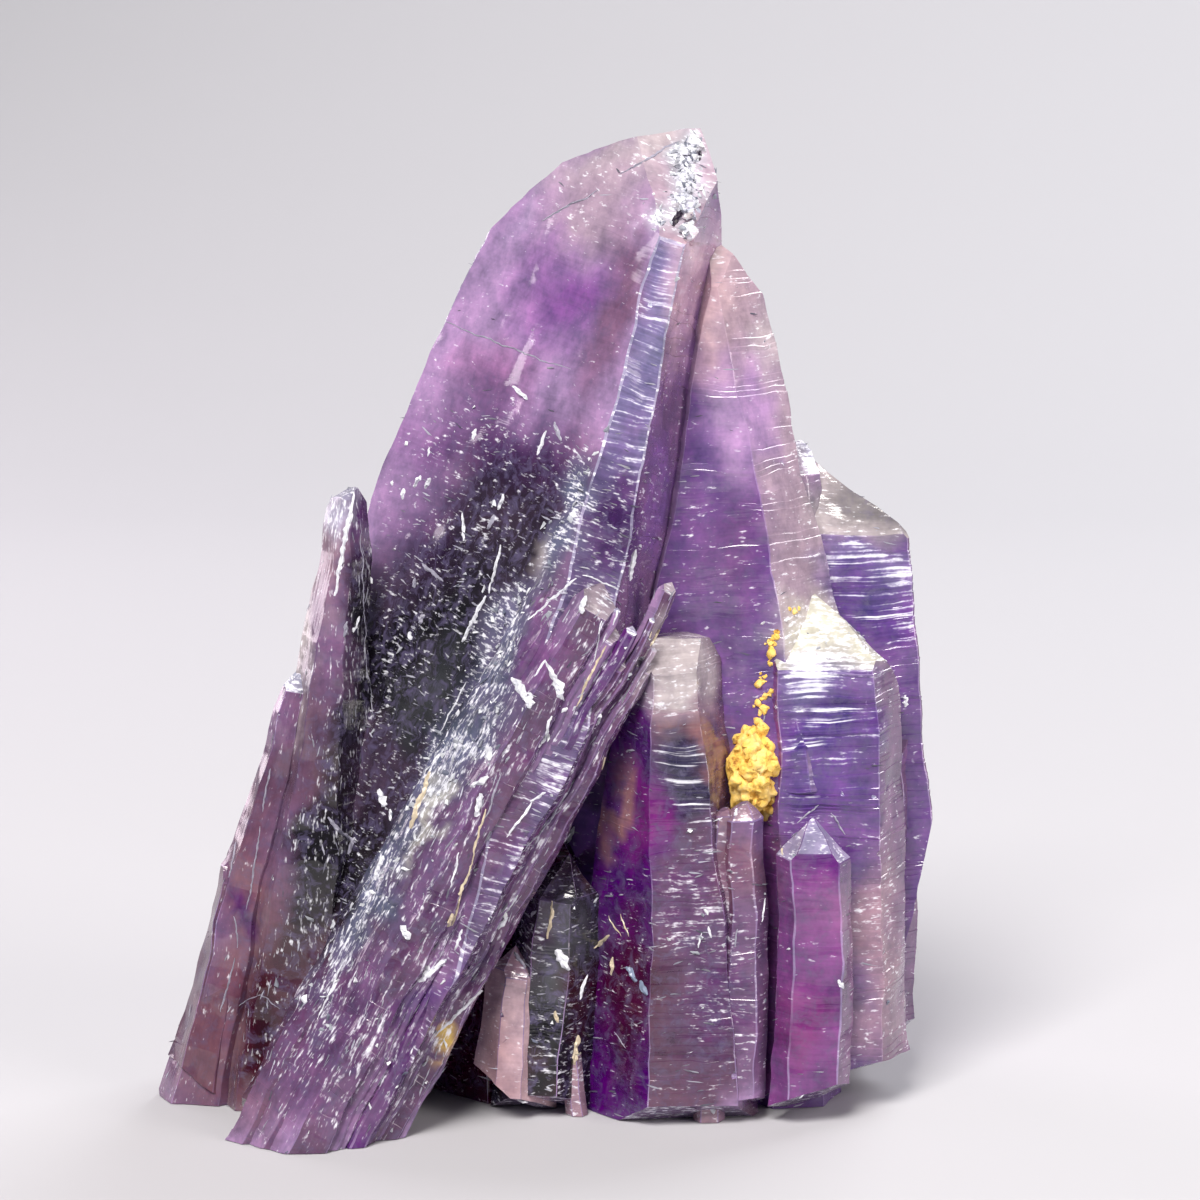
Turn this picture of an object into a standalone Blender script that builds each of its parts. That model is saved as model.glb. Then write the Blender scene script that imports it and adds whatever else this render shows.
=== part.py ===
"""A hand-sized amethyst specimen: quartz crystals grown together, with an iron-ochre crust in one cleft.

The crystals form one solid that stands on its broken base, cut flat at z = 0. Seen from the front (-Y),
a large crystal at the left leans to the right, and a group of upright crystals stands at the right.
Lengths are in millimetres and angles in degrees until the meshes are made, which are in metres.
"""

import random
from dataclasses import dataclass, replace
from math import cos, radians, sin, tan

import bmesh
import bpy
from mathutils import Matrix, Vector, noise

MM = 0.001

# Quartz: the walls stand 60 degrees apart, and an end face's normal is 38.2 degrees above its wall's.
WALLS = 6
WALL_STEP = 60.0
END_FACE_RISE = 38.2

LEDGE_LIP = 0.06  # height over which a growth ledge steps out
LEDGE_REACH = (0.5, 1.0)  # share of its full reach that a ledge stands out
LEDGE_STRAY = (0.6, 1.4)  # share of the spacing between one ledge and the next
BELOW_BASE = 3.0  # how far the crystals run past the base before it is cut flat
FOOT_STEP = 0.03  # from one crystal's foot to the next one's, so that no two feet lie in one plane
FLOOR = ((-60.0, -60.0, -12.0), (60.0, 60.0, 0.0))  # what the base is cut flat with
CRUST_GAP = 0.3  # between the ochre crust and the quartz around it
MIDDLE = (-0.41, 1.57, 0.0)  # the middle of the base, from the point that the places below are given from


@dataclass(frozen=True)
class Crystal:
    """A quartz crystal: six walls closing in a little towards a pyramid of end faces."""

    name: str
    tip: tuple  # where the end faces with no raise meet
    lean: float  # from upright towards +X
    back: float  # from upright towards +Y
    turn: float  # direction of wall 0, from -Y towards +X
    walls: tuple  # distance of each wall from the axis at the tip's level, wall 0 first, towards +X
    taper: tuple  # how much each wall closes in towards the tip
    raises: tuple  # how far above the tip each end face crosses the axis
    trims: tuple = ()  # worn or broken faces, each a point and a direction facing out
    ledges: tuple = (0.0,) * WALLS  # how far the growth ledges of each wall stand out
    spacing: float = 0.0  # from one ledge to the next
    ledge_end: float = 60.0  # depth below the tip where the ledges stop
    length: float = 70.0


def crystal(name, tip, walls, lean=0.0, back=0.0, turn=0.0, taper=2.0, raises=0.0, **others):
    """Fills in a crystal whose walls, tapers or raises are all the same."""
    def six(value):
        return tuple(value) if isinstance(value, (tuple, list)) else (value,) * WALLS

    return Crystal(name, tip, lean, back, turn, six(walls), six(taper), six(raises), **others)


CRYSTALS = (
    # the large leaning crystal, worn along its top edge
    crystal("main", (6.84, 0.5, 48.9), (3.8, 2.0, 5.8, 7.2, 8.1, 2.64), lean=18, back=4, turn=10,
            taper=(4.0, 7.4, 1, 10, 10, 0.6), raises=(0, 3, 6, 6, 4.3, 9),
            trims=(((6.84, 0.5, 48.95), (-0.2, 0.15, 0.97)),
                   ((7.6, 0.0, 48.4), (0.97, 0.12, 0.21)),
                   ((0.0, 7.6, 28.0), (-0.17, 0.98, 0.08)),
                   ((-9.0, 5.0, 31.2), (-0.963, 0.0, 0.269)),
                   ((0.5, -4.0, 16.0), (0.87, -0.2, -0.45))),
            ledges=(0.16, 0.12, 0, 0, 0, 0), spacing=1.3, ledge_end=26.0),
    # the tall tapered crystal behind it and the thin one at its right
    crystal("tall", (9.3, 3.2, 42.9), (1.5, 0.3, 1.3, 3.0, 3.0, 2.0), lean=-3, turn=-12,
            taper=(7, 9, 9.6, 4, 5, 5), raises=(0, 2, 0, 2, 0, 2),
            ledges=(0, 0.1, 0.1, 0, 0, 0), spacing=1.7, ledge_end=20.0, length=27.0),
    crystal("tall_side", (12.2, 4.0, 33.2), (1.2, 1.3, 1.2, 2.0, 2.0, 2.0), lean=-1,
            taper=(3, 0.5, 2, 2, 2, 2), raises=(0, 0, 1, 2, 0, 2)),
    # right back, with a pale end
    crystal("right", (12.6, 5.5, 32.6), (3.1, 5.9, 3.0, 3.0, 3.0, 3.0), lean=-2,
            taper=(1.5, 3.2, 1.5, 1.5, 1.5, 1.5), raises=(0, 3.5, 0, 3, 0, 3),
            ledges=(0.1, 0.1, 0, 0, 0, 0), spacing=1.1,
            trims=(((19.5, 5.5, 16.0), (0.98, 0.05, -0.19)), ((17.6, 2.5, 3.2), (0.45, -0.25, -0.86)))),
    # front right, with a cream end
    crystal("stout", (13.15, 0.0, 25.75), (2.5, 3.6, 3.5, 4.0, 3.0, 3.1), lean=-1, turn=3,
            taper=1.0, raises=(0, 2.4, 0, 2, 0, 1.0), ledges=(0.12, 0.1, 0, 0, 0, 0.1), spacing=0.9,
            trims=(((15.5, -2.0, 2.2), (0.3, -0.25, -0.92)),)),
    # front middle, flat-topped
    crystal("flat", (6.3, -2.6, 25.6), (2.2, 1.25, 2.0, 3.0, 2.0, 2.0), turn=8,
            taper=(2, 6, 3, 6, 10, 1.3), raises=(0, 1, 0, 1, 0, 1),
            trims=(((6.2, -2.6, 24.2), (0.03, 0.05, 1.0)), ((6.5, -5.0, 0.7), (0.05, -0.5, -0.86))),
            ledges=(0.08, 0, 0, 0, 0, 0), spacing=1.2, ledge_end=11.0),
    # the small ones at the front and the right
    crystal("small_right", (13.1, -3.5, 15.5), (1.8, 1.4, 1.8, 2.0, 1.8, 2.0), turn=10, taper=0.8,
            trims=(((13.3, -5.2, 1.8), (0.28, -0.35, -0.9)),), ledges=(0.06, 0.06, 0, 0, 0, 0), spacing=1.4),
    crystal("small_middle", (9.4, -4.0, 16.35), 0.9, taper=1.0,
            trims=(((9.4, -5.0, 1.2), (0.15, -0.35, -0.92)),)),
    crystal("small_edge", (17.7, 3.0, 19.5), (1.4, 0.8, 1.0, 2.0, 2.0, 1.0), lean=1.5, taper=0.8,
            trims=(((17.7, 2.0, 3.4), (0.4, -0.3, -0.86)),)),
    # the cleft between the leaning crystal and the flat-topped one
    crystal("cleft_dark", (0.7, -2.2, 13.2), (1.6, 1.3, 2.0, 2.5, 2.0, 1.6), lean=5, turn=-5, taper=2.5,
            trims=(((0.7, -4.2, 1.2), (0.0, -0.4, -0.9)),)),
    crystal("cleft_pink", (-1.7, -3.2, 8.6), (1.0, 0.9, 2.0, 2.0, 1.2, 0.8), lean=4, taper=5,
            trims=(((-2.6, -3.0, 1.5), (-0.6, -0.1, -0.79)), ((-1.7, -4.8, 1.2), (0.0, -0.4, -0.9)))),
    crystal("cleft_light", (0.9, -3.2, 4.0), 0.55, lean=-3, taper=1),
    # the left edge
    crystal("edge_high", (-9.8, 0.0, 31.6), (0.8, 0.3, 1.2, 1.8, 1.0, 0.7), lean=4,
            taper=(4, 10, 8, 4, 7.2, 7.2)),
    crystal("edge_middle", (-12.7, 1.0, 22.2), (1.0, 1.0, 2.0, 2.0, 0.3, 0.7), lean=13, turn=-10, taper=3.5),
    crystal("edge_low", (-15.7, 1.0, 12.8), (1.2, 1.0, 2.0, 2.0, 0.3, 0.7), lean=10, turn=-10, taper=6.0,
            trims=(((-17.5, 0.0, 0.8), (-0.55, -0.1, -0.83)),)),
    # the bed that carries the ribs
    crystal("rib_bed", (2.4, -2.6, 28.5), (2.4, 3.0, 3.4, 4.0, 2.2, 1.6), lean=28.5, back=6, turn=10,
            taper=(0.5, 0.5, 0.5, 1, 1, 0.5), raises=(0, 1, 0, 1, 0, 1),
            trims=(((-13.6, -8.0, 1.2), (-0.6, -0.35, -0.72)),)),
    # the middle, which the others hide
    crystal("core", (5.0, 3.0, 22.0), (4.0, 5.0, 5.0, 5.0, 5.0, 4.0), turn=20, taper=1.0),
    crystal("core_left", (-1.9, 3.1, 17.0), (3.4, 3.6, 4.0, 3.8, 3.8, 3.6), turn=14, taper=1.0),
    crystal("core_back", (4.0, 8.6, 16.0), 1.8, turn=25, taper=1.0),
    crystal("core_right", (12.0, 0.8, 16.0), (2.4, 2.2, 2.2, 2.0, 2.2, 2.0), turn=8, taper=1.0),
    # the back
    crystal("back_middle", (2.0, 6.6, 27.5), (3.3, 3.0, 2.9, 2.8, 3.0, 3.4), lean=4, back=-2, turn=6,
            raises=(0, 1.5, 0, 1.5, 0, 1.5)),
    crystal("back_right", (8.2, 8.2, 23.0), (3.0, 2.8, 2.6, 3.0, 2.7, 3.2), lean=-2, back=-3, turn=-8,
            raises=(1.2, 0, 1.2, 0, 1.2, 0)),
    crystal("back_left", (-4.8, 7.2, 19.5), (3.0, 2.8, 2.4, 2.6, 2.8, 3.0), lean=13, back=-2, turn=12,
            raises=(0, 1.0, 0, 1.0, 0, 1.0)),
    crystal("back_edge", (13.2, 9.4, 16.5), (2.2, 2.0, 1.9, 2.0, 2.2, 2.2), lean=-4, back=-3, turn=4),
    crystal("back_low", (-10.6, 6.0, 13.5), (2.2, 2.0, 1.8, 2.0, 2.0, 2.2), lean=17, back=-1, turn=-6),
    crystal("back_small", (4.9, 10.4, 11.5), (1.5, 1.4, 1.3, 1.4, 1.5, 1.6), lean=2, back=-5, turn=15),
    crystal("back_tiny", (-1.2, 9.8, 8.6), (1.2, 1.1, 1.2, 1.2, 1.1, 1.2), lean=7, back=-6, turn=-10),
)

# The bundle of ribs down the front of the large crystal. Each rib has its distance from the bundle's
# left edge, the height of its tip, its half width and how far forward it stands.
RIBS = (
    (0.3, 31.2, 0.75, 4.4),
    (1.2, 29.0, 0.80, 5.2),
    (2.5, 27.2, 1.15, 6.0),
    (3.6, 25.5, 0.80, 5.8),
    (4.6, 24.0, 0.75, 5.6),
    (5.6, 27.0, 0.45, 3.4),
    (6.0, 23.6, 0.60, 4.6),
)
RIB_LEAN = 28.5
RIB_BACK = 5.0
RIB_TURN = 10.0
RIB_EDGE_X = 1.9
RIB_EDGE_Z = 31.2

# The rough, etched lumps at the top of the large crystal: how many, their size, where they lie and how
# far they stray from that line at its upper end and at its lower end.
LUMPS = 14
LUMP_SIZE = 0.55
LUMP_SIZES = (0.7, 1.3)
LUMP_CORNERS = 11
LUMP_FROM = (7.0, 0.1, 48.3)
LUMP_TO = (6.2, -3.0, 44.2)
LUMP_STRAY = (0.15, 0.65)
LUMP_SEED = 7

# The ochre crust in the cleft between the flat-topped crystal and the stout one: each lump's middle,
# half sizes and lean. The crystals beside it bound it, with a gap.
CRUST_LUMPS = (
    ((9.75, -2.2, 17.8), (1.35, 1.5, 3.0), 4.0),
    ((10.2, -1.7, 21.4), (0.6, 1.0, 2.2), 8.0),
)
CRUST_ROUGHNESS = 0.22
CRUST_GRAIN = 2.2
CRUST_FOOT_STEP = 0.1
CRUST_NEIGHBOURS = ("tall", "stout", "flat", "small_right", "small_middle", "core", "right", "main")


def ribs():
    """The ribs of the bundle, from its left edge to its right."""
    slant = tan(radians(RIB_LEAN))
    for number, (across, height, half_width, forward) in enumerate(RIBS):
        x = RIB_EDGE_X + (height - RIB_EDGE_Z) * slant + across / cos(radians(RIB_LEAN))
        yield crystal(
            f"rib_{number}", (x, -forward, height), half_width, lean=RIB_LEAN, back=RIB_BACK,
            turn=RIB_TURN, taper=0.5, raises=(0, 1, 0, 1, 0, 1),
        )


def wall_normals(one):
    """The outward directions of the walls in the crystal's own frame, whose Z is its axis."""
    angles = [radians(one.turn + WALL_STEP * wall) for wall in range(WALLS)]
    return [Vector((sin(angle), -cos(angle), 0.0)) for angle in angles]


def crystal_frame(one):
    """Turns the crystal's own frame upright to its lean, with its tip in place."""
    leaning = Matrix.Rotation(radians(one.lean), 4, "Y") @ Matrix.Rotation(radians(-one.back), 4, "X")
    return Matrix.Translation(one.tip) @ leaning


def cut(bm, point, normal):
    """Cuts away what lies beyond a plane and closes the cut."""
    everything = bm.verts[:] + bm.edges[:] + bm.faces[:]
    made = bmesh.ops.bisect_plane(
        bm, geom=everything, dist=1e-5, plane_co=point, plane_no=normal, clear_outer=True
    )
    rim = [item for item in made["geom_cut"] if isinstance(item, bmesh.types.BMEdge)]
    if rim:
        bmesh.ops.edgenet_fill(bm, edges=rim)


def section(one, depth, out):
    """The corners of the crystal's section at a depth below its tip, each where two walls meet.

    out is 1 where the ledges stand out, and 0 between them.
    """
    normals = wall_normals(one)
    reach = [
        wall + depth * tan(radians(taper)) + out * ledge
        for wall, taper, ledge in zip(one.walls, one.taper, one.ledges)
    ]
    corners = []
    for wall in range(WALLS):
        after = (wall + 1) % WALLS
        first, second = normals[wall], normals[after]
        cross = first.x * second.y - first.y * second.x
        x = (reach[wall] * second.y - reach[after] * first.y) / cross
        y = (reach[after] * first.x - reach[wall] * second.x) / cross
        corners.append(Vector((x, y, -depth)))
    return corners


def levels(one):
    """The depths of a crystal's sections, each with whether it is the edge of a ledge."""
    found = [(-max(one.raises) - 1.0, 0.0)]
    if one.spacing:
        chance = random.Random(one.name)
        depth = one.spacing
        while depth < one.ledge_end:
            found.append((depth, 0.0))
            found.append((depth + LEDGE_LIP, chance.uniform(*LEDGE_REACH)))
            depth += one.spacing * chance.uniform(*LEDGE_STRAY)
    found.append((one.length, 0.0))
    return found


def crystal_mesh(one, foot, grow=0.0):
    """A closed crystal in millimetres, which runs down to the height of its foot."""
    grown = replace(one, walls=tuple(wall + grow for wall in one.walls))
    bm = bmesh.new()
    rings = [[bm.verts.new(corner) for corner in section(grown, *level)] for level in levels(one)]
    for upper, lower in zip(rings, rings[1:]):
        for wall in range(WALLS):
            after = (wall + 1) % WALLS
            bm.faces.new((upper[wall], upper[after], lower[after], lower[wall]))
    bm.faces.new(rings[0])
    bm.faces.new(rings[-1])
    bmesh.ops.recalc_face_normals(bm, faces=bm.faces[:])
    rise = radians(END_FACE_RISE)
    for normal, height in zip(wall_normals(one), one.raises):
        top = Vector((0.0, 0.0, height + grow / sin(rise)))
        cut(bm, top, normal * cos(rise) + Vector((0.0, 0.0, sin(rise))))
    bmesh.ops.transform(bm, matrix=crystal_frame(one), verts=bm.verts[:])
    for point, normal in one.trims:
        out = Vector(normal).normalized()
        cut(bm, Vector(point) + out * grow, out)
    cut(bm, Vector((0.0, 0.0, foot)), Vector((0.0, 0.0, -1.0)))
    bmesh.ops.recalc_face_normals(bm, faces=bm.faces[:])
    bmesh.ops.triangulate(bm, faces=bm.faces[:])
    return bm


def lump_mesh(number, chance):
    """One angular lump of the etched tip: the hull of a few points on a squashed ball."""
    along = (number + 0.5) / LUMPS
    middle = Vector(LUMP_FROM).lerp(Vector(LUMP_TO), along)
    upper, lower = LUMP_STRAY
    stray = upper + (lower - upper) * along
    middle += Vector([chance.uniform(-stray, stray) for _ in range(3)])
    size = LUMP_SIZE * chance.uniform(*LUMP_SIZES)
    bm = bmesh.new()
    for _ in range(LUMP_CORNERS):
        spot = Vector([chance.gauss(0.0, 1.0) for _ in range(3)]).normalized() * size
        bm.verts.new(middle + spot)
    hull = bmesh.ops.convex_hull(bm, input=bm.verts[:])
    inner = [item for item in hull["geom_interior"] if isinstance(item, bmesh.types.BMVert)]
    bmesh.ops.delete(bm, geom=inner, context="VERTS")
    bmesh.ops.recalc_face_normals(bm, faces=bm.faces[:])
    return bm


def crust_mesh(middle, reach, lean):
    """One rough lump of the ochre crust."""
    bm = bmesh.new()
    bmesh.ops.create_icosphere(bm, subdivisions=3, radius=1.0)
    for corner in bm.verts:
        rough = noise.noise(corner.co * CRUST_GRAIN + Vector(middle))
        corner.co *= 1.0 + CRUST_ROUGHNESS * rough
    stretched = Matrix.Rotation(radians(lean), 4, "Y") @ Matrix.Diagonal((*reach, 1.0))
    bmesh.ops.transform(bm, matrix=Matrix.Translation(middle) @ stretched, verts=bm.verts[:])
    return bm


def clear_scene():
    """Removes what the scene holds."""
    for item in list(bpy.data.objects):
        bpy.data.objects.remove(item, do_unlink=True)


def joined(meshes):
    """One mesh of several, each freed once it is in."""
    whole = bmesh.new()
    for bm in meshes:
        mesh = bpy.data.meshes.new("piece")
        bm.to_mesh(mesh)
        bm.free()
        whole.from_mesh(mesh)
        bpy.data.meshes.remove(mesh)
    return whole


def mesh_object(name, bm):
    """Makes an object in metres, with the middle of the base at the origin, of a mesh in millimetres."""
    centred = Matrix.Scale(MM, 4) @ Matrix.Translation(-Vector(MIDDLE))
    bmesh.ops.transform(bm, matrix=centred, verts=bm.verts[:])
    mesh = bpy.data.meshes.new(name)
    bm.to_mesh(mesh)
    bm.free()
    made = bpy.data.objects.new(name, mesh)
    bpy.context.scene.collection.objects.link(made)
    return made


def block_mesh(low, high):
    """A box between two corners."""
    bm = bmesh.new()
    bmesh.ops.create_cube(bm, size=1.0)
    low, high = Vector(low), Vector(high)
    size = Matrix.Diagonal((*(high - low), 1.0))
    bmesh.ops.transform(bm, matrix=Matrix.Translation((low + high) / 2) @ size, verts=bm.verts[:])
    return bm


def material(name, colour, roughness):
    """A Principled material of one colour."""
    made = bpy.data.materials.new(name)
    made.use_nodes = True
    shader = made.node_tree.nodes["Principled BSDF"]
    shader.inputs["Base Color"].default_value = (*colour, 1.0)
    shader.inputs["Roughness"].default_value = roughness
    return made


def subtract(target, cutter, crossing):
    """Takes a hidden cutter out of the target, whose own pieces may cross each other."""
    cutter.hide_render = True
    cutter.display_type = "WIRE"
    boolean = target.modifiers.new("cut", "BOOLEAN")
    boolean.operation = "DIFFERENCE"
    boolean.solver = "EXACT"
    boolean.use_self = crossing
    boolean.object = cutter


def build_cluster():
    """The crystals, grown into one solid and cut flat at the base."""
    pieces = []
    for number, one in enumerate((*CRYSTALS, *ribs())):
        pieces.append(crystal_mesh(one, -BELOW_BASE - FOOT_STEP * number))
    chance = random.Random(LUMP_SEED)
    pieces += [lump_mesh(number, chance) for number in range(LUMPS)]
    cluster = mesh_object("amethyst_cluster", joined(pieces))
    floor = mesh_object("floor_cutter", block_mesh(*FLOOR))
    subtract(cluster, floor, True)
    cluster.data.materials.append(material("amethyst", (0.20, 0.08, 0.36), 0.15))


def build_crust():
    """The ochre crust, kept clear of the crystals around it."""
    crust = mesh_object("ochre_crust", joined([crust_mesh(*lump) for lump in CRUST_LUMPS]))
    beside = [one for one in CRYSTALS if one.name in CRUST_NEIGHBOURS]
    room = [crystal_mesh(one, -CRUST_FOOT_STEP * number, CRUST_GAP) for number, one in enumerate(beside)]
    subtract(crust, mesh_object("crust_cutter", joined(room)), True)
    crust.data.materials.append(material("ochre", (0.62, 0.40, 0.10), 0.9))


def build():
    """Builds the specimen."""
    clear_scene()
    build_cluster()
    build_crust()


build()
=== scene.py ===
"""Dresses the amethyst specimen: ledged quartz crystals with etched flecks and seams, and an ochre crust.

Lengths are in millimetres and angles in degrees until the meshes are made, which are in metres. The large
leaning crystal is at the left, the front of the specimen faces -Y, and z = 0 is the surface it stands on.
"""

import logging
import random
from collections.abc import Callable, Iterable, Iterator, Sequence
from contextlib import contextmanager
from dataclasses import dataclass, field
from enum import Enum
from math import ceil, cos, pi, radians, sin, tan

import bmesh
import bpy
import numpy as np
from bmesh.types import BMEdge, BMesh, BMFace, BMVert
from bpy.types import Camera, GeometryNodeTree, Light, Material, Mesh, Node, NodeSocket, NodeTree, Object
from mathutils import Matrix, Vector, noise
from mathutils.bvhtree import BVHTree


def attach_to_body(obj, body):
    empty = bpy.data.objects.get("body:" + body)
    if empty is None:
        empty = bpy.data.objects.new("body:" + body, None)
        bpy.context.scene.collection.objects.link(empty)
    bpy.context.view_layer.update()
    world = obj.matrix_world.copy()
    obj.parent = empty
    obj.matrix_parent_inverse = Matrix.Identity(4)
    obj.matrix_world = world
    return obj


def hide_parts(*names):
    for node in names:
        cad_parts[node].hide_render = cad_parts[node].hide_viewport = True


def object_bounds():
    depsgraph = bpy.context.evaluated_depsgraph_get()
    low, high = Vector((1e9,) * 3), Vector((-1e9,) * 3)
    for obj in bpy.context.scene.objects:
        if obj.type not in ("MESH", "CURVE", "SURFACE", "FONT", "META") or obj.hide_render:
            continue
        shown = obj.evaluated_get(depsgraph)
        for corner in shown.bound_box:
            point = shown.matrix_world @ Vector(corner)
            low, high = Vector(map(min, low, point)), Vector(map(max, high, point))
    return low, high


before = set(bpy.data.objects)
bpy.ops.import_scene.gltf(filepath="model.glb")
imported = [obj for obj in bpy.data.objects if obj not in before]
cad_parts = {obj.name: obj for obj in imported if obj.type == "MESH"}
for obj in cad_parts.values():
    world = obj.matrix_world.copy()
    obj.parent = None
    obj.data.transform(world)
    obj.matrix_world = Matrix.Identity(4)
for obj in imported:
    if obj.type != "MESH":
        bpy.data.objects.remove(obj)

log = logging.getLogger("specimen")

CAD_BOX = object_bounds()

MM = 0.001
BODY = "root"
NOISE_SEED = 5  # noise.noise_vector changes from run to run without one

# Quartz: the walls stand 60 degrees apart, and an end face's normal is 38.2 degrees above its wall's.
WALLS = 6
WALL_STEP = 60.0
END_FACE_RISE = 38.2
QUARTZ_IOR = 1.544

MIDDLE = Vector((-0.41, 1.57, 0.0))  # the middle of the base, from the point the places are given from
BELOW_BASE = 1.5  # how far the crystals run past the base before it is cut flat
FOOT_STEP = 0.013  # from one crystal's foot to the next one's, so that no two feet lie in one plane

UP = Vector((0.0, 0.0, 1.0))
NOISE_SPAN = {1: 0.3, 2: 0.7}  # a Map Range's From inputs: noise textures mostly stay between these

Six = tuple[float, ...]
Pair = tuple[float, float]
Spot = tuple[float, float, float]
Colour = tuple[float, float, float, float]


def linear(hex_value: str) -> Colour:
    """Turns an sRGB hex colour to the linear values that the shaders use.

    Args:
        hex_value: six hex digits, such as "a482a5".

    Returns:
        Red, green, blue and an alpha of 1.
    """
    def channel(value: float) -> float:
        """Turns one value from 0 to 1."""
        return value / 12.92 if value <= 0.04045 else ((value + 0.055) / 1.055) ** 2.4

    red, green, blue = (channel(int(hex_value[i:i + 2], 16) / 255.0) for i in (0, 2, 4))
    return (red, green, blue, 1.0)


class Tint(Enum):
    """What a face or a zone of the quartz shows.

    Each has its colour, how clear it is, how much frost it has, how much of that lies in growth lines, and
    how many white flecks and how many crumbs stand on a square millimetre.
    """

    VIOLET = ("7c5f98", 0.36, 0.22, 0.12, 0.25, 0.0)
    BRIGHT_VIOLET = ("8f62a4", 0.38, 0.12, 0.12, 0.05, 0.0)
    DEEP_VIOLET = ("5c2678", 0.38, 0.20, 0.20, 0.5, 0.0)
    MAGENTA = ("8c4482", 0.40, 0.12, 0.20, 0.15, 0.0)
    PLUM = ("885690", 0.40, 0.18, 0.20, 0.1, 0.0)
    RUST = ("845c68", 0.34, 0.20, 0.10, 0.2, 0.0)
    SLATE = ("34324a", 0.24, 0.22, 1.00, 0.3, 0.0)
    LILAC = ("b89bc4", 0.30, 0.18, 0.05, 0.1, 0.0)
    PINK = ("ac76a4", 0.32, 0.12, 0.10, 0.05, 0.0)
    DUSTY = ("b4a0b0", 0.30, 0.24, 0.05, 0.15, 0.0)
    MAUVE = ("86698c", 0.36, 0.24, 0.10, 0.15, 0.0)
    ROSE = ("a27a7c", 0.34, 0.22, 0.10, 0.2, 0.0)
    # Pale pink, lightened as painted light for the leaning crystal's right face; the pink crystal in the
    # cleft shows it as its own colour.
    BLUSH = ("e2c4cc", 0.30, 0.26, 0.05, 0.2, 0.0)
    BROWN = ("684c62", 0.36, 0.22, 0.30, 0.4, 0.0)
    # Painted reflection: a silvery blue-grey, with bright and dark growth bands, for the surroundings
    # mirrored on striated faces.
    SILVER = ("877ea6", 0.26, 0.34, 0.70, 0.3, 0.0)
    DUSK = ("452458", 0.32, 0.30, 0.10, 1.4, 0.05)
    SMOKE = ("17161a", 0.18, 0.30, 0.05, 1.7, 0.20)
    MURK = ("1b1419", 0.18, 0.26, 0.05, 1.3, 0.12)
    SHADOW = ("401024", 0.21, 0.24, 0.05, 1.0, 0.05)
    DULL = ("45474b", 0.18, 0.18, 0.05, 0.6, 0.1)
    GREY = ("beb5b8", 0.20, 0.34, 0.15, 0.1, 0.05)
    HAZE = ("a88c9a", 0.28, 0.34, 0.10, 0.2, 0.05)
    ROUGH = ("686c84", 0.12, 0.46, 0.00, 2.5, 4.0)
    CRUMBLY = ("c2c4ce", 0.05, 0.60, 0.00, 1.5, 7.0)
    MASS = ("6a4a74", 0.34, 0.42, 0.45, 2.4, 0.25)
    FROST = ("b4b7cc", 0.12, 0.52, 0.15, 0.4, 0.3)
    CREAM = ("bab8ac", 0.04, 0.44, 0.12, 0.3, 0.8)
    BANDED = ("634c92", 0.30, 0.38, 1.00, 0.1, 0.0)
    STRIPED = ("8a80b0", 0.16, 0.64, 1.00, 0.05, 0.0)
    BROKEN = ("847090", 0.25, 0.40, 0.05, 0.4, 0.05)
    EDGE = ("9f8bb2", 0.20, 0.22, 0.00, 0.0, 0.0)
    RIM = ("aaa4c0", 0.18, 0.40, 0.00, 0.3, 0.3)
    YELLOW = ("d9b86c", 0.15, 0.40, 0.10, 0.0, 0.5)

    @property
    def colour(self) -> Colour:
        """The linear colour."""
        return linear(self.value[0])

    @property
    def character(self) -> Colour:
        """How clear it is, how frosted and how lined, as a colour that the material can mix."""
        return (*self.value[1:4], 1.0)

    @property
    def scattered(self) -> Pair:
        """How many white flecks and how many crumbs stand on a square millimetre."""
        return self.value[4:]


class Streaks(Enum):
    """Which way the fine growth lines of a crystal run."""

    ACROSS = "across"
    ALONG = "along"


@dataclass(frozen=True)
class Trim:
    """A worn or broken face that cuts a crystal: a point of its plane and its direction, facing out."""

    point: Spot
    normal: Spot
    tint: Tint = Tint.BROKEN


@dataclass(frozen=True)
class Ledges:
    """The growth ledges that cross a crystal's walls.

    Attributes:
        reach: how far the ledges of each wall stand out, wall 0 first.
        spacing: the mean distance from one ledge to the next.
        end: the depth below the tip where the ledges stop.
    """

    reach: Six = (0.0,) * WALLS
    spacing: float = 0.0
    end: float = 60.0


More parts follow.
